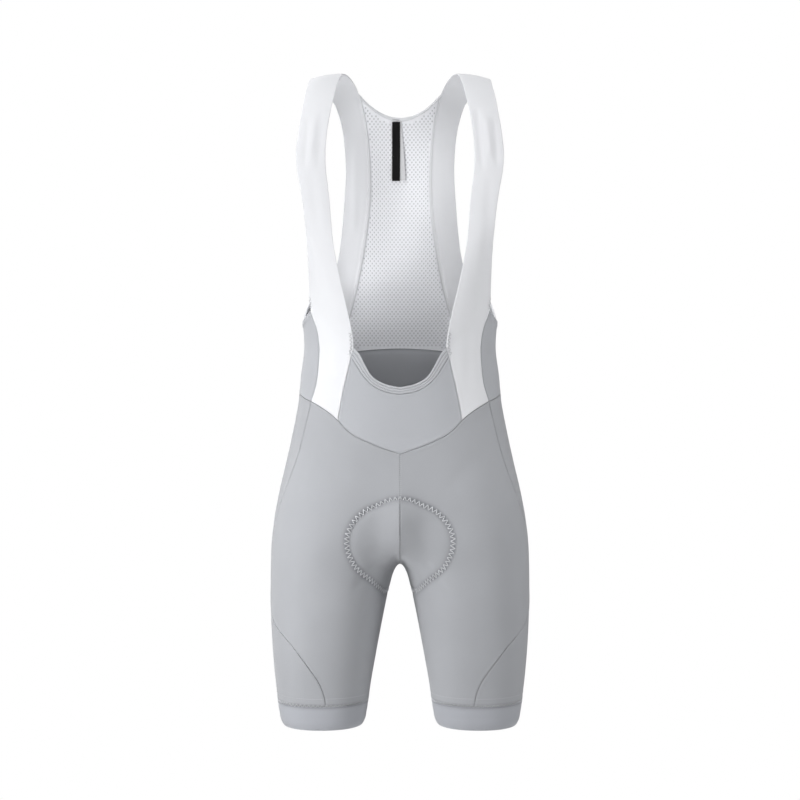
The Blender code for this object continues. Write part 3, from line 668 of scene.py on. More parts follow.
def mesh_grid(strap):
    """Grid of the mesh back, from its left edge to its right."""
    side = strap[-(BACK_ROWS + 1):, -1]
    heights = np.linspace(MESH_MIDDLE[0][0], MESH_MIDDLE[-1][0], FINE)
    line = np.column_stack([0 * heights, through(MESH_MIDDLE, heights)[0], heights])
    middle = spaced(line, np.linspace(0, 1, BACK_ROWS + 1))
    u = np.linspace(1, -1, 2 * MESH_HALF + 1)
    bulge = (1 - u ** 2)[:, None]
    rows = []
    for edge, centre in zip(side, middle):
        level = edge * (0, 1, 1) + (centre - edge) * (0, 1, 1) * bulge
        level[:, 0] = u * edge[0]
        rows.append(level)
    grid = np.array(rows)
    seam = MESH_MIDDLE[-1][0] - MESH_SEAM_DROP * u ** 2
    grid[-1] = at_x(u * side[-1, 0], seam, 1)
    return grid


def settle(points):
    """Points moved onto the form."""
    for _ in range(SETTLE_ROUNDS):
        slope = slope_of_form(points)
        size = np.maximum((slope ** 2).sum(-1), 1e-9)
        points = points - slope * (outside(points) / size)[..., None]
    return points


def pad_surface():
    """Points on the form, walked sideways from the middle line, within the pad's shape."""
    u = np.linspace(1, 0, FINE)
    lines = []
    for side in (-1, 1):
        heights = CROTCH + (SIDE_SEAM[2][0] - CROTCH) * u ** 2
        lines.append(at_x(0 * heights, heights, side)[::-1])
    front, back = lines
    closer = -np.cos(np.linspace(PAD_ENDS, 1 - PAD_ENDS, PAD_ROWS + 1) * math.pi)
    s = np.interp(closer, closer[[0, -1]], (PAD_SHAPE[0][0], PAD_SHAPE[-1][0]))
    middle = []
    for length in s:
        line = front if length < 0 else back
        middle.append(spaced(line, [abs(length) / length_of(line)])[0])
    middle = np.array(middle)
    half = through(PAD_SHAPE, s)[0]
    count = PAD_COLUMNS // 2
    walk = [middle]
    way = np.tile((1.0, 0.0, 0.0), (len(middle), 1))
    for _ in range(count):
        here = walk[-1]
        for _ in range(WALK_STEPS):
            here = settle(here + way * (half / count / WALK_STEPS)[:, None])
            out = form_outward(here)
            way = unit(way - out * (way * out).sum(-1, keepdims=True))
        walk.append(here)
    left = np.stack(walk, 1)
    return np.concatenate([mirrored(left)[:, :0:-1], left], axis=1)


def finer(grid, rows, columns):
    """The grid read smoothly at fractional row and column numbers."""
    for numbers in (rows, columns):
        count = len(grid)
        flat = np.column_stack([np.arange(count), grid.reshape(count, -1)])
        read = np.stack(through(flat, numbers), -1)
        grid = read.reshape(len(numbers), -1, 3).transpose(1, 0, 2)
    return grid


def stops(length, count):
    """Distances along a length, close together at both ends and even between."""
    edge = np.array(EDGE_ROWS) * min(1, length / 3 / EDGE_ROWS[-1])
    middle = np.linspace(edge[-1], length - edge[-1], count)
    return np.concatenate([edge[:-1], middle, length - edge[-2::-1]])


def spread(grid, pitch):
    """Each row's points spread at the cloth's stops."""
    mean = np.mean([length_of(line) for line in grid])
    count = max(3, round(mean / pitch))
    rows = []
    for line in grid:
        length = length_of(line)
        rows.append(spaced(line, stops(length, count) / length))
    return np.array(rows)


def laid(coarse, pitch, on_body=True):
    """Fine grid of a panel of the part, filled out, and its outward directions."""
    rows, columns = coarse.shape[:2]
    fine = finer(coarse, np.linspace(0, rows - 1, (rows - 1) * FINER + 1),
                 np.linspace(0, columns - 1, (columns - 1) * FINER + 1))
    fine = spread(fine, pitch)
    fine = spread(fine.transpose(1, 0, 2), pitch).transpose(1, 0, 2)
    if on_body:
        fine = settle(fine)
    fine = filled(fine)
    out = outward(fine)
    middle = out[len(out) // 2, out.shape[1] // 2]
    if on_body and (middle * fine[len(out) // 2, out.shape[1] // 2] * (1, 1, 0)).sum() < 0:
        out = -out
    return fine, out


def runs(grid):
    """Distance of each point from the four edges: left, right, top, bottom."""
    across = np.linalg.norm(np.diff(grid, axis=1), axis=2).cumsum(1)
    across = np.concatenate([np.zeros((len(grid), 1)), across], axis=1)
    down = np.linalg.norm(np.diff(grid, axis=0), axis=2).cumsum(0)
    down = np.concatenate([np.zeros((1, grid.shape[1])), down], axis=0)
    return across, across[:, -1:] - across, down, down[-1:] - down


def seam_line(distance):
    """Relief beside a sewn edge: a dip at the seam and a low ridge past it."""
    ridge = np.exp(-((distance - SEAM_RIDGE_AT) / SEAM_RIDGE_REACH) ** 2)
    return SEAM_RIDGE * ridge - SEAM_DEPTH * np.exp(-(distance / SEAM_REACH) ** 2)


def cut_line(distance):
    """Relief beside a free, clean-cut edge, which rolls in slightly."""
    return -CUT_EDGE_ROLL * np.exp(-(distance / SEAM_REACH) ** 2)


def turned_line(distance):
    """Relief beside an edge that is turned over and stitched down."""
    step = 0.5 - 0.5 * np.tanh((distance - TURNED_WIDTH) / TURNED_STEP_REACH)
    groove_at = TURNED_WIDTH * TURNED_GROOVE_AT
    groove = np.exp(-((distance - groove_at) / TURNED_GROOVE_REACH) ** 2)
    return TURNED_STEP * step - TURNED_GROOVE * groove + cut_line(distance)


def trough(points, start, end, reach, depth, ends):
    """Relief of one crease, deepest midway and with a share of it left at its ends."""
    way = end - start
    t = np.clip(((points - start) * way).sum(-1) / (way ** 2).sum(), 0, 1)
    gap = np.linalg.norm(points - start - t[..., None] * way, axis=-1)
    fade = np.sqrt(ends + 4 * (1 - ends) * t * (1 - t))
    return depth * np.exp(-(gap / reach) ** 2) * fade


def creased(points):
    """Relief of the soft creases in the body cloth."""
    relief = np.zeros(points.shape[:2])
    for x1, z1, x2, z2, side, reach, depth in CREASES:
        start, end = filled(at_x(np.array([x1, x2]), np.array([z1, z2]), side))
        relief += trough(points, start, end, reach, depth, BODY_CREASE_ENDS)
    return relief


def ring_path():
    """Middle line of the pad's stitching, once round, and its outward directions."""
    halves = []
    for table, side in ((RING_FRONT, -1), (RING_BACK, 1)):
        rows = np.array(table)
        run = travelled(rows)
        x, z = through(np.column_stack([run, rows]), np.linspace(0, run[-1], FINE))
        halves.append(at_x(x, z, side))
    front, back = halves
    turn = [np.degrees(np.arctan2(p[1], np.sqrt(p[0] ** 2 + FOLD ** 2) - section(p[2])[0]))
            for p in (front[-1], back[-1])]
    angles = np.linspace(turn[0], turn[1] - 360, FINE // 4)[1:-1]
    heights = np.linspace(front[-1][2], back[-1][2], FINE // 4)[1:-1]
    half = np.concatenate([front, on_form(angles, heights), back[::-1]])
    whole = np.concatenate([half, mirrored(half)[-2:0:-1]])
    line = spaced(np.concatenate([whole, whole[:1]]), np.linspace(0, 1, 4 * FINE))
    line = settle(line)
    return filled(line), form_outward(line)


def beside_ring(points, ring):
    """How close points lie to the pad's stitching, 1 on it to 0 well away."""
    flat = points.reshape(-1, 3)
    close = ((flat > ring.min(0) - RING_MARGIN) & (flat < ring.max(0) + RING_MARGIN)).all(1)
    chosen = flat[close]
    best = np.full(len(chosen), 1.0)
    for point in ring[::3]:
        best = np.minimum(best, ((chosen - point) ** 2).sum(1))
    share = np.zeros(len(flat))
    share[close] = np.exp(-best / RING_DENT_REACH ** 2)
    return share.reshape(points.shape[:2])


def smoothed(mesh):
    """The mesh with smooth shading."""
    for face in mesh.polygons:
        face.use_smooth = True
    return mesh


def mesh_of(name, shape):
    """Mesh of a bmesh, which is then let go."""
    mesh = bpy.data.meshes.new(name)
    shape.to_mesh(mesh)
    shape.free()
    return mesh


def grid_onto(shape, points):
    """Grid of faces added to a bmesh and moved onto a grid of points."""
    rows, columns = points.shape[:2]
    made = bmesh.ops.create_grid(shape, x_segments=columns - 1, y_segments=rows - 1, size=1)
    for vert, place in zip(made["verts"], points.reshape(-1, 3).tolist()):
        vert.co = place


def linked(name, data):
    """New object of some data, in the scene."""
    thing = bpy.data.objects.new(name, data)
    bpy.context.scene.collection.objects.link(thing)
    return thing


def lay_mesh(name, points, pattern, turned, ring=False, shade=None):
    """Created grid moved onto the points, with its cloth lengths as its UV map."""
    rows, columns = points.shape[:2]
    shape = bmesh.new()
    bmesh.ops.create_grid(shape, x_segments=columns - 1, y_segments=rows - 1, size=1)
    mesh = mesh_of(name, shape)
    mesh.vertices.foreach_set("co", np.ascontiguousarray(points, np.float32).ravel())
    corner = np.zeros(len(mesh.loops), np.int32)
    mesh.loops.foreach_get("vertex_index", corner)
    lengths = mesh.uv_layers.new(name="cloth_lengths")
    lengths.data.foreach_set("uv", pattern.reshape(-1, 2)[corner].astype(np.float32).ravel())
    # The painted shade along seams goes on as a point attribute.
    if shade is not None:
        sewn = mesh.attributes.new("painted_seam_shade", "FLOAT", "POINT")
        sewn.data.foreach_set("value", shade.astype(np.float32).ravel())
    if turned:
        mesh.flip_normals()
    if ring:
        shape = bmesh.new()
        shape.from_mesh(mesh)
        bmesh.ops.remove_doubles(shape, verts=shape.verts[:], dist=SAME_POINT)
        shape.to_mesh(mesh)
        shape.free()
    mesh.update()
    return smoothed(mesh)


def placed(name, mesh, cloth, *nodes):
    """Object of a mesh that rides with the garment and stands for its solids."""
    piece = linked(name, mesh)
    mesh.materials.append(cloth)
    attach(piece, "root")
    if nodes:
        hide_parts(*nodes)
    return piece


def walled(piece, wall, rounded=0.0):
    """Cloth thickness inwards, and softened free edges."""
    thick = piece.modifiers.new("cloth_wall", "SOLIDIFY")
    thick.thickness = wall
    thick.offset = -1
    if rounded:
        soft = piece.modifiers.new("soft_edge", "BEVEL")
        soft.width = rounded
        soft.segments = 2
        soft.limit_method = "ANGLE"
        soft.angle_limit = math.radians(50)


def cloth_piece(name, points, out, cloth, node, wall=WALL, rounded=0.0, ring=False, shade=None):
    """Panel of cloth on a grid, with its cloth lengths as its UV map and a wall inwards."""
    left, _, top, _ = runs(points)
    middle = points.shape[1] // 2
    pattern = np.stack([left - left[:, middle:middle + 1], -top], -1)
    along = np.gradient(points, axis=0)
    across = np.gradient(points, axis=1)
    turned = (np.cross(across, along) * out).sum() < 0
    mesh = lay_mesh(name, points, pattern, turned, ring, shade)
    piece = placed(name, mesh, cloth, node)
    walled(piece, wall, rounded)
    return piece


def stitch_runs(line, out, pitch, gap):
    """Starts and ends of straight stitches along a line, with their outward directions."""
    count = max(1, round(length_of(line) / pitch))
    share = gap / pitch / 2
    edges = np.arange(count)
    table = np.column_stack([line, out])
    start = spaced(table, (edges + share) / count, 3)
    end = spaced(table, (edges + 1 - share) / count, 3)
    return start[:, :3], end[:, :3], unit(start[:, 3:] + end[:, 3:])


def zigzag_runs(line, out, pitch, width):
    """Starts and ends of zigzag stitches along a line, with their outward directions."""
    count = 2 * max(2, round(length_of(line) / pitch))
    table = spaced(np.column_stack([line, out]), np.arange(count + 1) / count, 3)
    point, up = table[:, :3], unit(table[:, 3:])
    side = unit(np.cross(np.gradient(point, axis=0), up))
    swing = np.where(np.arange(count + 1) % 2, 0.5, -0.5)[:, None] * width
    point = point + side * swing
    return point[:-1], point[1:], unit(up[:-1] + up[1:])


def sewing(name, parts, thread, cloth):
    """One piece of many stitches: a slim bead from each start to each end."""
    start, end, up = (np.concatenate([part[k] for part in parts]) for k in range(3))
    bead = bmesh.new()
    bmesh.ops.create_uvsphere(bead, u_segments=6, v_segments=4, radius=1)
    bead.verts.ensure_lookup_table()
    form = np.array([v.co[:] for v in bead.verts])
    faces = [[v.index for v in face.verts] for face in bead.faces]
    bead.free()
    way = end - start
    half = np.linalg.norm(way, axis=1)[:, None] / 2
    way = unit(way)
    side = unit(np.cross(up, way))
    up = np.cross(way, side)
    full = np.sign(form[:, 2]) * np.abs(form[:, 2]) ** BEAD_BLUNT
    points = ((start + end)[:, None] / 2 + (way * half)[:, None] * full[:, None]
              + side[:, None] * form[:, 0, None] * thread
              + up[:, None] * (form[:, 1, None] * BEAD_FLAT + BEAD_LIFT) * thread)
    count = len(form)
    mesh = bpy.data.meshes.new(name)
    every = [[n + k * count for n in face] for k in range(len(start)) for face in faces]
    mesh.from_pydata(points.reshape(-1, 3).tolist(), [], every)
    mesh.update()
    return placed(name, smoothed(mesh), cloth)


def taping(name, lines, cloth, width):
    """Flat seam allowances inside: strips along lines, each line with its way inwards."""
    shape = bmesh.new()
    for line, inward, side in lines:
        count = max(6, round(length_of(line) / TAPE_PITCH))
        table = spaced(np.column_stack([line, inward, side]), np.linspace(0, 1, count + 1), 3)
        point, way, across = table[:, :3], unit(table[:, 3:6]), unit(table[:, 6:])
        profile = ((-1.0, 0.0), (-0.8, 0.75), (0.0, 1.0), (0.8, 0.75), (1.0, 0.0), (0.0, -0.2))
        grid = np.array([point + across * a * width / 2 + way * (b * TAPE_THICK)
                         for a, b in profile + profile[:1]])
        grid_onto(shape, grid.transpose(1, 0, 2))
    bmesh.ops.remove_doubles(shape, verts=shape.verts[:], dist=SAME_POINT)
    bmesh.ops.holes_fill(shape, edges=[e for e in shape.edges if e.is_boundary])
    bmesh.ops.recalc_face_normals(shape, faces=shape.faces[:])
    return placed(name, smoothed(mesh_of(name, shape)), cloth)


def edged(points, **edges):
    """Relief and painted seam shade of a panel: each edge has its lines and how much of each."""
    gaps = dict(zip(("left", "right", "top", "bottom"), runs(points)))
    relief = np.zeros(points.shape[:2])
    shade = np.zeros(points.shape[:2])
    for side, lines in edges.items():
        for line, share in lines:
            if not np.isscalar(share):
                share = share[:, None] if side in ("left", "right") else share[None, :]
            relief = relief + line(gaps[side]) * share
            # Painted shade: darker along the sewn edges.
            if line is seam_line:
                shade = np.maximum(shade, share * np.exp(-(gaps[side] / SEAM_REACH) ** 2))
    return relief, shade


def dress_legs(ring, finishes):
    """Front and back leg panels; gives their finished grids for the sewing."""
    made = {}
    for part, side in (("front", -1), ("back", 1)):
        coarse = leg_panel(side)
        if side > 0:
            coarse = coarse[:, ::-1]
        points, out = laid(coarse, LEG_PITCH)
        left, right = (1, CENTRE_SHARE) if side < 0 else (CENTRE_SHARE, 1)
        relief, shade = edged(points, left=[(seam_line, left)], right=[(seam_line, right)],
                              top=[(seam_line, 1)], bottom=[(seam_line, 1)])
        # Painted shade on the cloth above the hem band.
        shade = np.maximum(shade, np.exp(-(runs(points)[3] / HEM_SHADE_REACH) ** 2))
        for hand, sign in (("left", 1), ("right", -1)):
            place, way = points * (sign, 1, 1), out * (sign, 1, 1)
            beside = beside_ring(place, ring)
            moved = relief + creased(place) - RING_DENT * beside
            moved = np.maximum(moved, RELIEF_LEAST) + PAD_RISE * inside_ring(place)
            place = place + way * moved[..., None]
            # Painted shade beside the pad's stitching, together with the seam shade.
            sewn = np.maximum(shade, RING_SHADE * beside)
            name = "leg_" + part + "_" + hand
            node = part + "_leg_" + hand
            cloth_piece(name, place, way, finishes["leg"], node, shade=sewn)
            made[name] = (place, way)
    return made


def inside_ring(points):
    """How far inside the pad's stitching a point is, 0 outside to 1 well inside."""
    x, y, z = np.abs(points[..., 0]), points[..., 1], points[..., 2]
    within = np.zeros(x.shape)
    for table, side in ((RING_FRONT, -1), (RING_BACK, 1)):
        rows = np.array(table)
        widest = rows[:, 0].argmax()
        upper = np.interp(z, rows[:widest + 1, 1][::-1], rows[:widest + 1, 0][::-1], left=1)
        lower = np.interp(z, rows[widest:, 1][::-1], rows[widest:, 0][::-1], right=1)
        reach = np.where(z > rows[widest, 1], upper, lower)
        reach = np.minimum(reach, PAD_RISE_WIDEST)
        reach = np.where((z > rows[0, 1]) | (z < rows[-1, 1]), 0, reach)
        share = eased(reach - x, *PAD_RISE_FADE)
        within = np.where(y * side > 0, share, within)
    return within


def dress_bands(finishes):
    """Elastic bands at the leg hems, rounded at the free edge."""
    made = {}
    angles = np.append(np.linspace(0, 360, BAND_POINTS, endpoint=False), 0)
    length = HEM_SEAM - HEM
    heights = HEM_SEAM - stops(length, BAND_STOPS)
    points = np.array([on_form(angles, z + 0 * angles) for z in heights])
    out = form_outward(points)
    relief, shade = edged(points, top=[(seam_line, 1)])
    down = HEM_SEAM - points[..., 2]
    # Painted shade on the band below its seam.
    shade = np.maximum(shade, np.exp(-(down / HEM_SHADE_REACH) ** 2))
    turn = np.clip((HEM + BAND_ROUND - points[..., 2]) / BAND_ROUND, 0, 1)
    relief = relief - BAND_TURN_IN * turn ** 2
    swell = BAND_SWELL * np.sin(np.pi * np.clip(down / length, 0, 1)) ** 0.5
    grip = BAND_GRIP * np.cos(down / length * 2 * np.pi * BAND_GRIP_LINES)
    points = points + out * (relief + swell + grip)[..., None]
    for hand, sign in (("left", 1), ("right", -1)):
        place, way = points * (sign, 1, 1), out * (sign, 1, 1)
        cloth_piece("band_" + hand, place, way, finishes["band"], "hem_band_" + hand,
                    rounded=BAND_EDGE_SOFT, ring=True, shade=shade)
        made["band_" + hand] = (place, way)
    return made


def dress_bib(finishes):
    """Front bib and the stitched band round the neck."""
    coarse = bib_grid()
    points, out = laid(coarse, PANEL_PITCH)
    relief, shade = edged(points, left=[(seam_line, 1)], right=[(seam_line, 1)],
                          top=[(seam_line, 1)], bottom=[(seam_line, 1)])
    points = points + out * (relief + creased(points))[..., None]
    cloth_piece("bib", points, out, finishes["panel"], "front_bib", shade=shade)
    made = {"bib": (points, out)}
    u = np.linspace(1, -1, 2 * BIB_HALF + 1)
    edge = at_x(u * NECK_HALF, through(NECK_EDGE, np.abs(u))[0], -1)
    points, out = laid(np.array([coarse[-1], edge]), NECK_BAND_PITCH)
    _, _, top, bottom = runs(points)
    wave = np.abs(np.sin(NECK_RIDGES * np.pi * top / (top + bottom)))
    points = points + out * (NECK_RIDGE * wave ** 0.55)[..., None]
    # Painted shade in the grooves between the ridges.
    groove = np.exp(-(wave / 0.35) ** 2)
    cloth_piece("neck_band", points, out, finishes["binding"], "front_neck_binding",
                wall=BINDING_WALL, rounded=EDGE_SOFT, shade=groove * NECK_GROOVE_SHADE)
    made["neck_band"] = (points, out)
    return made


def leaving_body(grid):
    """The strap's rows with its depth eased over the stretch where it leaves the body."""
    first, last = YOKE_ROWS, YOKE_ROWS + EASE_ROWS
    depth = grid[..., 1].copy()
    start, end = depth[first], depth[last]
    leave = (depth[first] - depth[first - 1]) * EASE_ROWS
    arrive = (depth[last + 1] - depth[last - 1]) / 2 * EASE_ROWS
    for row in range(first + 1, last):
        t = (row - first) / EASE_ROWS
        depth[row] = ((1 + 2 * t) * (1 - t) ** 2 * start + t * (1 - t) ** 2 * leave
                      + t * t * (3 - 2 * t) * end - t * t * (1 - t) * arrive)
    return np.stack([grid[..., 0], depth, grid[..., 2]], -1)


def dress_straps(finishes):
    """Shoulder straps, with the creases of each side."""
    made = {}
    points, out = laid(leaving_body(strap_grid()), STRAP_PITCH, on_body=False)
    outer, inner = points[:, 0], points[:, -1]
    yoke_seam = np.where(outer[:, 1] < 0, eased(-outer[:, 2], *YOKE_SEAM_FADE), 0)
    bib_seam = np.where(inner[:, 1] < 0, eased(-inner[:, 2], *BIB_SEAM_FADE), 0)
    mesh_seam = eased(inner[:, 1], *MESH_SEAM_FADE)
    inner_seam = np.maximum(bib_seam, mesh_seam)
    relief, shade = edged(points, left=[(seam_line, yoke_seam), (cut_line, 1 - yoke_seam)],
                          right=[(seam_line, inner_seam), (cut_line, 1 - inner_seam)],
                          top=[(seam_line, 1)], bottom=[(seam_line, 1)])
    for hand, sign in (("left", 1), ("right", -1)):
        moved = relief.copy()
        rows, columns = relief.shape
        for side, first, last, across, reach, depth in STRAP_CREASES:
            if side != sign:
                continue
            start, end = [points[round(r * (rows - 1)), round(across * (columns - 1))]
                          for r in (first, last)]
            moved += trough(points, start, end, reach, depth, STRAP_CREASE_ENDS)
        place, way = (points + out * moved[..., None]) * (sign, 1, 1), out * (sign, 1, 1)
        cloth_piece("shoulder_" + hand, place, way, finishes["strap"], "strap_" + hand,
                    rounded=EDGE_SOFT, shade=shade)
        made["shoulder_" + hand] = (place, way)
    made["sewn_rows"] = (yoke_seam > 0.5, bib_seam > 0.5, mesh_seam > 0.5)
    return made


def yoke_grid(strap, mesh):
    """Grid of the yoke from strap seam to strap seam round the sides and the back."""
    low_angles, low_heights = waist_back()
    rear = strap[-1]
    arm_start = strap[YOKE_ROWS, 0]
    arm_angles = np.linspace(angle_at(arm_start[0], arm_start[2], -1),
                             angle_at(rear[0, 0], rear[0, 2], 1), ARM_COLUMNS + 1)
    dip = np.linspace(0, 1, ARM_COLUMNS + 1)
    arm_heights = arm_start[2] + (rear[0, 2] - arm_start[2]) * (1 - (1 - dip) ** 2)
    rear_angles = angle_at(rear[1:, 0], rear[1:, 2], 1)
    mesh_row = mesh[-1, :MESH_HALF + 1]
    mesh_angles = angle_at(mesh_row[1:, 0], mesh_row[1:, 2], 1)
    high_angles = np.concatenate([arm_angles, rear_angles, mesh_angles])
    high_heights = np.concatenate([arm_heights, rear[1:, 2], mesh_row[1:, 2]])
    grid = []
    columns = np.arange(BACK_COLUMNS + 1)
    for share in np.linspace(0, 1, YOKE_ROWS + 1):
        z = low_heights + (high_heights - low_heights) * share
        angles = low_angles + (high_angles - low_angles) * share
        seam = angle_at(through(STRAP_SEAM_OUTER, z[0])[0], z[0], -1)
        angles = angles + (seam - angles[0]) * np.clip(1 - columns / ARM_COLUMNS, 0, 1)
        row = on_form(angles, z)
        row[-1, 0] = 0
        grid.append(row)
    half = np.array(grid)
    return np.concatenate([half, mirrored(half)[:, -2::-1]], axis=1)


def dress_yoke(strap, mesh, finishes):
    """Yoke round the sides and the back, its arm edges turned over and stitched."""
    points, out = laid(yoke_grid(strap, mesh)[::-1], PANEL_PITCH)
    arm = eased(ARM_FADE - points[0, :, 1], 0.0, ARM_FADE)
    relief, shade = edged(points, left=[(seam_line, 1)], right=[(seam_line, 1)],
                          top=[(turned_line, arm), (seam_line, 1 - arm)],
                          bottom=[(seam_line, 1)])
    points = points + out * (relief + creased(points))[..., None]
    cloth_piece("yoke", points, out, finishes["panel"], "back_yoke", rounded=EDGE_SOFT,
                shade=shade)
    return {"yoke": (points, out), "arm_columns": arm > 0.5}


def dress_mesh(coarse, finishes):
    """Mesh back: a plate of cells on a staggered lattice, holed, then bent to its place."""
    rows, columns = coarse.shape[:2]
    fine = finer(coarse, np.linspace(0, rows - 1, rows * FINER),
                 np.linspace(0, columns - 1, columns * FINER))
    out = outward(fine)
    middle = fine[:, fine.shape[1] // 2]
    run = travelled(middle)
    numbers = np.arange(len(run))
    top, bottom = BACK_BINDING_WIDTH - PLATE_TUCK, run[-1]
    first = np.interp(top, run, numbers)
    fall = (middle[0, 2] - middle[-1, 2]) / numbers[-1]

    def half_at(row):
        return np.interp(row, numbers, fine[:, 0, 0])

    def found(across, height):
        """Row number of the places seen at these distances across and heights."""
        row = np.interp(-height, -middle[:, 2], numbers)
        for _ in range(SOLVE_ROUNDS):
            share = np.clip(across / half_at(row), -1, 1) ** 2
            there = (np.interp(row, numbers, fine[:, 0, 2]) * share
                     + np.interp(row, numbers, middle[:, 2]) * (1 - share))
            past = row - np.clip(row, 0, numbers[-1])
            row = row + (there - fall * past - height) / fall
        return row

    tall = (fine[0, 0, 2] - fine[-1, 0, 2]) / 2
    count = int(fine[:, 0, 0].max() / HOLE_PITCH + tall / HOLE_FALL) + 4
    plate = bmesh.new()
    bmesh.ops.create_grid(plate, x_segments=2 * count, y_segments=2 * count, size=count)
    lattice = Matrix(((HOLE_PITCH / 2, -HOLE_PITCH / 2, 0, 0),
                      (HOLE_FALL / 2, HOLE_FALL / 2, 0, (fine[0, 0, 2] + fine[-1, 0, 2]) / 2),
                      (0, 0, 1, 0), (0, 0, 0, 1)))
    bmesh.ops.transform(plate, matrix=lattice, verts=plate.verts[:])

    def inside(faces, margin):
        """The faces whose middle lies at least the margin within the panel."""
        seat = np.array([f.calc_center_median()[:2] for f in faces])
        row = found(*seat.T)
        down = np.interp(row, numbers, run) + (row - np.clip(row, 0, numbers[-1])) * fall
        well = ((down > top + margin) & (down < bottom - margin)
                & (np.abs(seat[:, 0]) < half_at(row) - margin))
        return [face for face, kept in zip(faces, well) if kept]

    kept = set(inside(plate.faces[:], -PLATE_MARGIN))
    bmesh.ops.delete(plate, geom=[f for f in plate.faces if f not in kept], context="FACES")
    bmesh.ops.bevel(plate, geom=plate.verts[:], affect="VERTICES", offset=HOLE_CUT,
                    segments=1, profile=0.5, material=-1)
    cells = inside([f for f in plate.faces if len(f.verts) == 8], SELVEDGE)
    bmesh.ops.inset_individual(plate, faces=cells, thickness=HOLE_RIM)
    bmesh.ops.delete(plate, geom=cells, context="FACES")
    bmesh.ops.solidify(plate, geom=plate.faces[:], thickness=MESH_WALL)
    plate.verts.ensure_lookup_table()
    flat = np.array([v.co[:] for v in plate.verts])
    if flat[:, 2].max() > MESH_WALL / 2:
        flat[:, 2] -= MESH_WALL

    def bent(row, across, depth):
        """Points of the mesh back at row numbers, distances across and depths."""
        row = np.clip(row, first, numbers[-1])
        column = (1 - np.clip(across / half_at(row), -1, 1)) / 2 * (fine.shape[1] - 1)
        i = np.minimum(row.astype(int), len(run) - 2)
        j = np.minimum(column.astype(int), fine.shape[1] - 2)
        s, t = (row - i)[:, None], (column - j)[:, None]
        spots = []
        for field in (fine, out):
            spots.append((1 - s) * ((1 - t) * field[i, j] + t * field[i, j + 1])
                         + s * ((1 - t) * field[i + 1, j] + t * field[i + 1, j + 1]))
        return spots[0] + unit(spots[1]) * np.asarray(depth)[..., None]

    points = bent(found(flat[:, 0], flat[:, 1]), flat[:, 0], flat[:, 2])
    for vert, place in zip(plate.verts, points.tolist()):
        vert.co = place
    pattern = plate.loops.layers.uv.new("cloth_lengths")
    for face in plate.faces:
        for corner in face.loops:
            corner[pattern].uv = corner.vert.co.xz
    plate.normal_update()
    outer = sum(f.normal.y * f.calc_area() for f in plate.faces
                if all(flat[v.index, 2] > -1e-6 for v in f.verts))
    if outer < 0:
        bmesh.ops.reverse_faces(plate, faces=plate.faces[:])
    piece = placed("mesh_panel", mesh_of("mesh_panel", plate), finishes["mesh"], "mesh_back")
    # A grey sheet of painted shade fills the holes at mid-wall.
    s, t = np.meshgrid(np.linspace(1, -1, HOLE_SHADE_COLUMNS), np.linspace(0, 1, HOLE_SHADE_ROWS))
    row = first + HOLE_SHADE_ROW_INSET + t.ravel() * (numbers[-1] - first - 2 * HOLE_SHADE_ROW_INSET)
    points = bent(row, s.ravel() * (half_at(row) - HOLE_SHADE_INSET), -MESH_WALL * HOLE_SHADE_DEPTH)
    points = points.reshape(HOLE_SHADE_ROWS, HOLE_SHADE_COLUMNS, 3)
    mesh = lay_mesh("mesh_hole_shade", points, points[..., ::2], False)
    hole_shade = placed("mesh_hole_shade", mesh, finishes["hole_shade"])
    binding, band = dress_nape(fine, out, finishes)
    return fine, out, band


def dress_nape(mesh_fine, mesh_out, finishes):
    """Binding on the top edge of the mesh back, and its finished grid for the sewing."""
    first = unit(mesh_fine[1] - mesh_fine[0])
    edge = mesh_fine[0]
    shares = np.linspace(0, 1, NAPE_POINTS)
    low = spaced(edge + first * BACK_BINDING_WIDTH, shares)
    high = spaced(edge, shares)
    t = np.linspace(0, 1, NAPE_ROWS)[:, None]
    points = low + (high - low) * t[..., None]
    out = unit(np.repeat(spaced(mesh_out[0], shares)[None], NAPE_ROWS, axis=0))
    wave = np.abs(np.sin(np.pi * (NAPE_RIDGE_START + NAPE_RIDGES * t)))
    points = points + out * (NAPE_LIFT + NAPE_RIDGE * wave ** 0.5)[..., None]
    binding = cloth_piece("nape_band", points, out, finishes["white_binding"],
                          "back_neck_binding", wall=BINDING_WALL, rounded=EDGE_SOFT)
    return binding, (points, out)


def dress_labels(mesh_fine, mesh_out, finishes):
    """Two bare tapes that hang inside the back of the neck."""
    middle = mesh_fine[:, mesh_fine.shape[1] // 2]
    ways = mesh_out[:, mesh_out.shape[1] // 2]
    t = np.linspace(0, 1, LABEL_ROWS)[:, None]
    s = np.linspace(0, 1, LABEL_COLUMNS)[None, :]
    for name, node, left, right, low_left, low_right, high, low, off, curl, finish in LABELS:
        x = (left + (low_left - left) * t) * (1 - s) + (right + (low_right - right) * t) * s
        z = high + (low - high) * t + 0 * s
        y = np.interp(-z, -middle[:, 2], middle[:, 1])
        way = np.stack([np.interp(-z, -middle[:, 2], ways[:, k]) for k in range(3)], -1)
        lift = MESH_WALL + off + curl * (s ** 2 * t + 0.35 * np.sin(np.pi * t) * s)
        lift = lift + LABEL_WAVE * np.sin(9 * t + 2 * s)
        points = np.stack([x, y, z], -1) - way * lift[..., None]
        cloth_piece(name, points, -way, finishes[finish], node, wall=LABEL_WALL,
                    rounded=LABEL_EDGE_SOFT)


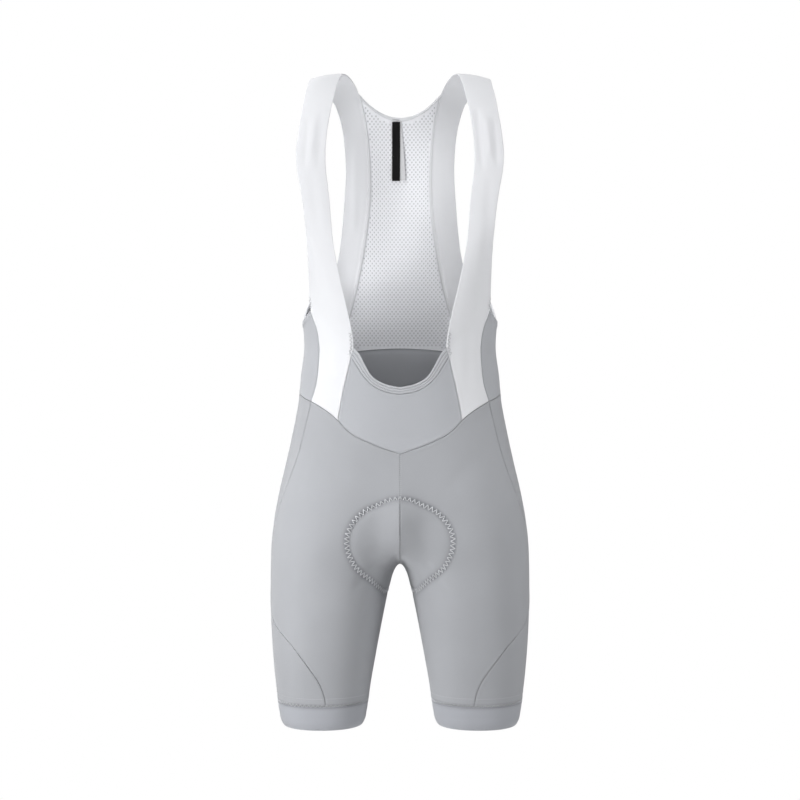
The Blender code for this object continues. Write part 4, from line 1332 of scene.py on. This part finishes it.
def dress_pad(finishes):
    """Seat pad inside the crotch: a domed foam form with two pressed channels."""
    face = pad_surface()
    rows, columns = face.shape[:2]
    face = settle(finer(face, np.linspace(0, rows - 1, PAD_FINER * rows),
                        np.linspace(0, columns - 1, PAD_FINER * columns)))
    out = form_outward(face)
    rows, columns = face.shape[:2]
    across = np.linspace(-1, 1, columns)[None]
    along = np.linspace(-1, 1, rows)[:, None]
    full = (1 - np.abs(across) ** 3) * (1 - np.abs(along) ** 4)
    channel = np.exp(-((np.abs(across) - CHANNEL_AT) / CHANNEL_REACH) ** 2)
    channel = channel * eased(CHANNEL_END - np.abs(along), 0, CHANNEL_FADE)
    thick = PAD_EDGE + (PAD_THICK - PAD_EDGE) * full - CHANNEL_DEPTH * channel * full
    depth = WALL + PAD_GAP + PAD_CLEAR
    outer = filled(face - out * depth)
    inner = filled(face - out * (depth + thick)[..., None])
    shape = bmesh.new()
    for points in (outer, inner):
        grid_onto(shape, points)
    rim = [e for e in shape.edges if e.is_boundary]
    bmesh.ops.bridge_loops(shape, edges=rim)
    bmesh.ops.recalc_face_normals(shape, faces=shape.faces[:])
    mesh = smoothed(mesh_of("pad_foam", shape))
    lengths = mesh.uv_layers.new(name="cloth_lengths")
    for corner in mesh.loops:
        place = mesh.vertices[corner.vertex_index].co
        lengths.data[corner.index].uv = (place.x, place.y)
    piece = placed("pad_foam", mesh, finishes["pad"], "seat_pad")


class Wires:
    """Short way to add and join nodes in one tree."""

    def __init__(self, tree):
        self.tree = tree

    def add(self, kind, inputs=(), **settings):
        node = self.tree.nodes.new(kind)
        for name, value in settings.items():
            setattr(node, name, value)
        for key, value in dict(inputs).items():
            if isinstance(value, bpy.types.NodeSocket):
                self.tree.links.new(value, node.inputs[key])
            else:
                node.inputs[key].default_value = value
        return node

    def math(self, operation, first, second=0.0, third=0.0):
        node = self.add("ShaderNodeMath", operation=operation)
        for socket, value in zip(node.inputs, (first, second, third)):
            if isinstance(value, bpy.types.NodeSocket):
                self.tree.links.new(value, socket)
            else:
                socket.default_value = value
        return node.outputs[0]


def effect(name, inputs, outputs, make):
    """Shader node group with named inputs and outputs, filled by make(wires, ins)."""
    tree = bpy.data.node_groups.new(name, "ShaderNodeTree")
    kinds = {"value": "NodeSocketFloat", "place": "NodeSocketVector", "colour": "NodeSocketColor"}
    for label, kind, preset in inputs:
        socket = tree.interface.new_socket(label, in_out="INPUT", socket_type=kinds[kind])
        if preset is not None:
            socket.default_value = preset
    for label, kind in outputs:
        tree.interface.new_socket(label, in_out="OUTPUT", socket_type=kinds[kind])
    ins = tree.nodes.new("NodeGroupInput").outputs
    end = tree.nodes.new("NodeGroupOutput")
    wires = Wires(tree)
    for label, socket in make(wires, ins).items():
        tree.links.new(socket, end.inputs[label])
    return tree


def knit_loops(wires, ins):
    """Columns of knitted loops: rounded wales with slanting courses."""
    axes = wires.add("ShaderNodeSeparateXYZ", {"Vector": ins["Lengths"]}).outputs
    wale = wires.math("DIVIDE", axes["X"], ins["Wale"])
    course = wires.math("DIVIDE", axes["Y"], ins["Course"])
    away = wires.math("PINGPONG", wale, 0.5)
    away = wires.math("MULTIPLY", away, 2.0)
    slant = wires.math("MULTIPLY_ADD", away, 0.5, course)
    loop = wires.math("MULTIPLY", wires.math("PINGPONG", slant, 0.5), 2.0)
    dome = wires.math("SUBTRACT", 1.0, wires.math("POWER", away, 2.0))
    height = wires.math("MULTIPLY", dome, wires.math("MULTIPLY_ADD", loop, 0.5, 0.5))
    # Painted shade: the colour darker in the hollows between the loops.
    shade = wires.math("MULTIPLY_ADD", height, 0.10, 0.93)
    return {"Height": height, "Shade": shade}


def ribs(wires, ins):
    """Close ribs across a tape or an elastic band, crossed by fine threads."""
    axes = wires.add("ShaderNodeSeparateXYZ", {"Vector": ins["Lengths"]}).outputs
    down = wires.math("PINGPONG", wires.math("DIVIDE", axes["Y"], ins["Course"]), 0.5)
    over = wires.math("PINGPONG", wires.math("DIVIDE", axes["X"], ins["Wale"]), 0.5)
    rise = wires.math("MULTIPLY", down, 2.0)
    fine = wires.math("MULTIPLY_ADD", over, 0.7, rise)
    height = wires.math("MULTIPLY", fine, 0.6)
    # Painted shade: the colour darker in the hollows between the ribs.
    shade = wires.math("MULTIPLY_ADD", height, 0.10, 0.93)
    return {"Height": height, "Shade": shade}


def cloth_tone(wires, ins):
    """Uneven dye in soft patches and single lighter yarns, with painted shade along sewn edges and in
    the hollows of the weave.
    """
    patches = wires.add("ShaderNodeTexNoise",
                        {"Vector": ins["Place"], "Scale": 14.0, "Detail": 3.0}).outputs["Fac"]
    axes = wires.add("ShaderNodeMapping",
                     {"Vector": ins["Lengths"], "Scale": (2600.0, 340.0, 1.0)})
    yarns = wires.add("ShaderNodeTexNoise", {"Vector": axes.outputs["Vector"], "Scale": 1.0,
                                             "Detail": 1.0}).outputs["Fac"]
    tone = wires.math("MULTIPLY_ADD", wires.math("SUBTRACT", patches, 0.5), 0.10, 1.0)
    grain = wires.math("SUBTRACT", yarns, 0.5)
    tone = wires.math("MULTIPLY_ADD", grain, ins["Melange"], tone)
    # Painted shade along seams.
    dark = wires.math("MULTIPLY", ins["Seam"], ins["Seam Shade"])
    tone = wires.math("MULTIPLY", tone, wires.math("SUBTRACT", 1.0, dark))
    # Painted shade in the hollows of the weave.
    tone = wires.math("MULTIPLY", tone, ins["Shade"])
    dyed = wires.add("ShaderNodeVectorMath", {0: ins["Colour"], 3: tone}, operation="SCALE")
    rough = wires.math("MULTIPLY_ADD", grain, 0.15, ins["Roughness"])
    return {"Colour": dyed.outputs["Vector"], "Roughness": rough}


def twisted(wires, ins):
    """Ply of a sewing thread, with painted shade in the hollows between its plies."""
    ply = wires.add("ShaderNodeTexWave", {"Vector": ins["Place"], "Scale": 420.0,
                                          "Distortion": 3.0, "Detail": 1.0}, bands_direction="DIAGONAL")
    # Painted shade: darker in the hollows of the ply.
    tone = wires.math("MULTIPLY_ADD", ply.outputs["Fac"], 0.22, 0.86)
    dyed = wires.add("ShaderNodeVectorMath", {0: ins["Colour"], 3: tone}, operation="SCALE")
    return {"Colour": dyed.outputs["Vector"], "Height": ply.outputs["Fac"]}


def make_effects():
    """The effects that the finishes share."""
    lengths = ("Lengths", "place", None)
    pitch = [("Wale", "value", 0.0008), ("Course", "value", 0.0006)]
    relief = [("Height", "value"), ("Shade", "value")]
    return {
        "knit": effect("knit_loops", [lengths] + pitch, relief, knit_loops),
        "ribs": effect("woven_ribs", [lengths] + pitch, relief, ribs),
        "tone": effect("cloth_tone", [
            ("Place", "place", None), lengths, ("Colour", "colour", None),
            ("Melange", "value", 0.1), ("Seam", "value", 0.0), ("Seam Shade", "value", 0.3),
            ("Shade", "value", 1.0), ("Roughness", "value", 0.8)],
            [("Colour", "colour"), ("Roughness", "value")], cloth_tone),
        "thread": effect("thread_twist", [("Place", "place", None), ("Colour", "colour", None)],
                         [("Colour", "colour"), ("Height", "value")], twisted),
    }


def new_finish(name):
    """Material with its wires, its shader and the piece's own coordinates."""
    finish = bpy.data.materials.new(name)
    finish.use_nodes = True
    wires = Wires(finish.node_tree)
    where = wires.add("ShaderNodeTexCoord").outputs["Object"]
    return finish, wires, finish.node_tree.nodes["Principled BSDF"], where


def cloth_finish(name, effects, weave, colour, wale, course, melange=0.10, bump=0.00012,
                 rough=0.82, sheen=0.25, seam=0.14, gloss=0.25):
    """Cloth of one weave and colour."""
    cloth, wires, shader, where = new_finish(name)
    lengths = wires.add("ShaderNodeUVMap", uv_map="cloth_lengths").outputs["UV"]
    # Painted shade along seams, read from the pieces' point attribute.
    sewn = wires.add("ShaderNodeAttribute", attribute_name="painted_seam_shade").outputs["Fac"]
    loops = wires.add("ShaderNodeGroup", node_tree=effects[weave])
    tone = wires.add("ShaderNodeGroup", node_tree=effects["tone"])
    links = cloth.node_tree.links
    links.new(lengths, loops.inputs["Lengths"])
    loops.inputs["Wale"].default_value = wale
    loops.inputs["Course"].default_value = course
    links.new(where, tone.inputs["Place"])
    links.new(lengths, tone.inputs["Lengths"])
    links.new(sewn, tone.inputs["Seam"])
    links.new(loops.outputs["Shade"], tone.inputs["Shade"])
    # seam sets how dark the painted seam shade gets.
    for label, value in (("Colour", (*colour, 1)), ("Melange", melange),
                         ("Seam Shade", seam), ("Roughness", rough)):
        tone.inputs[label].default_value = value
    relief = wires.add("ShaderNodeBump", {"Height": loops.outputs["Height"], "Strength": 0.6,
                                          "Distance": bump})
    links.new(tone.outputs["Colour"], shader.inputs["Base Color"])
    links.new(tone.outputs["Roughness"], shader.inputs["Roughness"])
    links.new(relief.outputs["Normal"], shader.inputs["Normal"])
    shader.inputs["Specular IOR Level"].default_value = gloss
    shader.inputs["Sheen Weight"].default_value = sheen
    shader.inputs["Sheen Roughness"].default_value = 0.45
    return cloth


def thread_finish(name, effects, colour):
    """Twisted sewing thread."""
    thread, wires, shader, where = new_finish(name)
    ply = wires.add("ShaderNodeGroup", node_tree=effects["thread"])
    links = thread.node_tree.links
    links.new(where, ply.inputs["Place"])
    ply.inputs["Colour"].default_value = (*colour, 1)
    relief = wires.add("ShaderNodeBump", {"Height": ply.outputs["Height"], "Strength": 0.5,
                                          "Distance": 0.0001})
    links.new(ply.outputs["Colour"], shader.inputs["Base Color"])
    links.new(relief.outputs["Normal"], shader.inputs["Normal"])
    shader.inputs["Roughness"].default_value = 0.55
    shader.inputs["Sheen Weight"].default_value = 0.2
    return thread


def make_finishes():
    """Every finish of the garment."""
    effects = make_effects()
    cloth = cloth_finish
    return {
        "leg": cloth("leg_knit", effects, "knit", CLOTH_GREY, 0.0008, 0.0006, seam=0.34),
        "panel": cloth("bib_and_yoke_knit", effects, "knit", PANEL_TONE, 0.0008, 0.0006),
        "band": cloth("hem_elastic", effects, "ribs", BAND_TONE, 0.0009, 0.0011, bump=0.0002,
                      seam=0.56),
        "binding": cloth("neck_binding_knit", effects, "ribs", BINDING_TONE, 0.0009, 0.0007,
                         bump=0.0002, seam=0.24),
        "white_binding": cloth("nape_binding_knit", effects, "ribs", STRAP_WHITE, 0.0009,
                               0.0007, bump=0.0002),
        "strap": cloth("strap_knit", effects, "knit", STRAP_WHITE, 0.0009, 0.0007,
                       melange=0.05, bump=0.00004, seam=0.08),
        "mesh": cloth("mesh_knit", effects, "knit", MESH_TONE, 0.0008, 0.0006, melange=0.06,
                      bump=0.00006),
        # Grey sheet of painted shade in the mesh's holes.
        "hole_shade": cloth("hole_shade_sheet", effects, "ribs", HOLE_SHADE_TONE, 0.0006, 0.0006, bump=0.0002),
        "tape": cloth("seam_tape_knit", effects, "ribs", TAPE_TONE, 0.0009, 0.0012,
                      bump=0.0003),
        "white_tape": cloth("strap_tape_knit", effects, "ribs", STRAP_WHITE, 0.0009, 0.0012,
                            bump=0.0003),
        "pad": cloth("pad_brushed_knit", effects, "knit", PAD_TONE, 0.0012, 0.0010,
                     melange=0.25, sheen=0.6),
        "label_dark": cloth("dark_label_satin", effects, "ribs", LABEL_BLACK, 0.0003, 0.0004,
                            melange=0.2, bump=0.00005, rough=0.6, sheen=0.0, gloss=0.1),
        "label_light": cloth("light_label_satin", effects, "ribs", LABEL_WHITE, 0.0003, 0.0004,
                             melange=0.08, bump=0.00005, rough=0.5, sheen=0.1),
        "grey_thread": thread_finish("grey_thread", effects, THREAD_GREY),
        "white_thread": thread_finish("white_thread", effects, THREAD_WHITE),
        "ring_thread": thread_finish("pad_ring_thread", effects, RING_TONE),
        "tack_thread": thread_finish("tack_thread", effects, TACK_TONE),
        "hem_thread": thread_finish("hem_thread", effects, HEM_THREAD_TONE),
    }


def line_of(piece, row=None, column=None, kept=slice(None)):
    """Kept points of one row or column of a finished piece, with their directions."""
    points, out = piece
    if row is None:
        return points[kept, column], out[kept, column]
    return points[row, kept], out[row, kept]


def straight(piece, spacing=SEAM_STITCH, **line):
    """Straight stitches along one row or column of a finished piece."""
    return stitch_runs(*line_of(piece, **line), *spacing)


def tape_inside(mesh_fine, mesh_out, straps, yoke, finishes):
    """Tapes inside: beside the mesh, and overlocked ones round the turned arm edges."""
    light, grey, overlock = [], [], []
    first, on, last = ARM_TAPE_LINES
    sunk = WALL + TAPE_GAP
    arm = yoke["arm_columns"]
    half = len(arm) // 2
    points, out = yoke["yoke"]
    halves = {"left": np.arange(len(arm)) < half, "right": np.arange(len(arm)) > half}
    for hand, column, way in (("left", 0, MESH_TAPE_TO), ("right", -1, -1 - MESH_TAPE_TO)):
        edge, up = mesh_fine[:, column], unit(mesh_out[:, column])
        across = unit(mesh_fine[:, way] - edge)
        light.append((edge + across * MESH_TAPE_SHIFT - up * sunk, -up, across))
        strap, strap_out = straps["shoulder_" + hand]
        rear = np.flatnonzero((strap[:, 0, 1] > 0) & (strap[:, 0, 2] < TURNED_FROM))
        line, up = strap[rear, on], strap_out[rear, on]
        lines = [(line - up * sunk, -up, unit(strap[rear, last] - strap[rear, first]))]
        kept = arm & halves[hand]
        line, up = points[on, kept], out[on, kept]
        across = unit(points[last, kept] - points[first, kept])
        lines.append((line - up * sunk, -up, across))
        for line, inward, across in lines:
            grey.append((line, inward, across))
            overlock.append(zigzag_runs(line + inward * TAPE_THICK, inward, *OVERLOCK))
    taping("mesh_seam_tapes", light, finishes["white_tape"], MESH_TAPE_WIDTH)
    taping("arm_edge_tapes", grey, finishes["tape"], ARM_TAPE_WIDTH)
    sewing("arm_edge_overlock", overlock, TACK_THREAD, finishes["tack_thread"])


def tack(straps, nape, finishes):
    """Zigzag tacks where the straps leave the body, and inside the nape above the label."""
    parts = []
    for hand in ("left", "right"):
        points, out = straps["shoulder_" + hand]
        for column, low, high in TACKS:
            z = points[:, column, 2]
            rows = (points[:, column, 1] < 0) & (z > low) & (z < high)
            line, up = points[rows, column], out[rows, column]
            parts.append(zigzag_runs(line + up * ZIGZAG_LIFT, up, *TACK_ZIGZAG))
    middle, half = LABEL_TACK
    line, up = line_of(nape, row=NAPE_MIDDLE)
    line = line - up * (BINDING_WALL + TAPE_GAP)
    above = np.abs(line[:, 0] - middle) < half
    parts.append(zigzag_runs(line[above], -up[above], *LABEL_ZIGZAG))
    sewing("strap_tacks", parts, TACK_THREAD, finishes["tack_thread"])


def sew(legs, bands, bib, straps, yoke, nape, ring, finishes):
    """Flat double seams, covering stitches, hem zigzags and the pad's ring."""
    grey, white, hem = [], [], []
    yoke_rows, bib_rows, mesh_rows = straps["sewn_rows"]
    for hand in ("left", "right"):
        fronts_and_backs = (legs["leg_front_" + hand], legs["leg_back_" + hand])
        for piece in fronts_and_backs:
            for column in (NEAR_SEAM, FAR_SEAM):
                grey.append(straight(piece, column=column))
            grey.append(straight(piece, row=NEAR_SEAM))
        line, up = line_of(bands["band_" + hand], row=0)
        hem.append(zigzag_runs(line + up * ZIGZAG_LIFT, up, *HEM_ZIGZAG))
        for piece in fronts_and_backs:
            grey.append(straight(piece, LOW_STITCH, row=LOW_ROW))
        strap = straps["shoulder_" + hand]
        for column, kept in ((NEAR_SEAM, yoke_rows), (FAR_SEAM, bib_rows), (FAR_SEAM, mesh_rows)):
            white.append(straight(strap, column=column, kept=kept))
        white.append(straight(strap, row=NEAR_SEAM))
    line, up = line_of(legs["leg_front_left"], column=-1)
    kept = (line[:, 2] < RING_FRONT[0][1] - COVER_START) & (line[:, 1] < COVER_DEPTH)
    line, up = line[kept] * (0, 1, 1), unit(up[kept] * (0, 1, 1))
    grey.append(stitch_runs(line + up * COVER_LIFT, up, *COVER_STITCH))
    for column in (NEAR_SEAM, FAR_SEAM):
        grey.append(straight(bib["bib"], column=column))
        grey.append(straight(yoke["yoke"], column=column))
    grey.append(straight(bib["bib"], row=NEAR_SEAM))
    grey.append(straight(yoke["yoke"], row=FAR_SEAM))
    arm = yoke["arm_columns"]
    half = len(arm) // 2
    for part in (np.arange(len(arm)) < half, np.arange(len(arm)) > half):
        for row in ARM_ROWS:
            grey.append(straight(yoke["yoke"], row=row, kept=arm & part))
    band = bib["neck_band"]
    for number in range(1, NECK_RIDGES):
        row = round(number / NECK_RIDGES * (len(band[0]) - 1))
        grey.append(straight(band, NECK_STITCH, row=row))
    white.append(straight(nape, NAPE_STITCH, row=NAPE_MIDDLE))
    sewing("grey_stitches", grey, THREAD, finishes["grey_thread"])
    sewing("hem_stitches", hem, HEM_THREAD, finishes["hem_thread"])
    sewing("white_stitches", white, THREAD, finishes["white_thread"])
    line, out = ring
    sewing("pad_zigzag", [zigzag_runs(line + out * RING_LIFT, out, RING_PITCH, RING_WIDTH)],
           RING_THREAD, finishes["ring_thread"])


def set_stage():
    """Pale floor under the garment, a white studio round it, soft lights and the camera."""
    shape = bmesh.new()
    bmesh.ops.create_grid(shape, x_segments=8, y_segments=8, size=FLOOR_HALF)
    bmesh.ops.translate(shape, verts=shape.verts[:], vec=(0, 0, FLOOR))
    floor = linked("paper_floor", mesh_of("paper_floor", shape))
    paper, wires, shader, where = new_finish("white_paper")
    grain = wires.add("ShaderNodeTexNoise", {"Vector": where, "Scale": 40.0})
    shades = wires.add("ShaderNodeMapRange", {"Value": grain.outputs["Fac"], "To Min": 0.84,
                                              "To Max": 0.90})
    paper.node_tree.links.new(shades.outputs["Result"], shader.inputs["Base Color"])
    shader.inputs["Roughness"].default_value = 0.9
    floor.data.materials.append(paper)
    for name, place, size, power in LIGHTS:
        lamp = bpy.data.lights.new(name, "AREA")
        lamp.shape = "DISK"
        lamp.size = size
        lamp.energy = power
        light = linked(name, lamp)
        light.location = place
        light.visible_camera = False
        way = Vector(LIGHTS_AIM) - Vector(place)
        light.rotation_euler = way.to_track_quat("-Z", "Y").to_euler()
    world = bpy.data.worlds.new("studio")
    world.use_nodes = True
    wires = Wires(world.node_tree)
    seen = wires.add("ShaderNodeLightPath").outputs["Is Camera Ray"]
    strength = wires.math("MULTIPLY_ADD", seen, 1.0 - WORLD_LIGHT, WORLD_LIGHT)
    back = world.node_tree.nodes["Background"]
    back.inputs["Color"].default_value = (1, 1, 1, 1)
    world.node_tree.links.new(strength, back.inputs["Strength"])
    bpy.context.scene.world = world
    bpy.context.scene.view_settings.view_transform = "Standard"
    lens = bpy.data.cameras.new("camera")
    lens.lens = CAMERA_LENS
    lens.sensor_width = 36
    camera = linked("camera", lens)
    camera.location = CAMERA_PLACE
    camera.rotation_euler = (math.radians(90), 0, 0)
    bpy.context.scene.camera = camera


set_stage()
finishes = make_finishes()
ring = ring_path()
legs = dress_legs(ring[0], finishes)
bands = dress_bands(finishes)
bib = dress_bib(finishes)
straps = dress_straps(finishes)
strap = strap_grid()
mesh_coarse = mesh_grid(strap)
yoke = dress_yoke(strap, mesh_coarse, finishes)
mesh_fine, mesh_out, nape = dress_mesh(mesh_coarse, finishes)
dress_labels(mesh_fine, mesh_out, finishes)
dress_pad(finishes)
sew(legs, bands, bib, straps, yoke, nape, ring, finishes)
tape_inside(mesh_fine, mesh_out, straps, yoke, finishes)
tack(straps, nape, finishes)
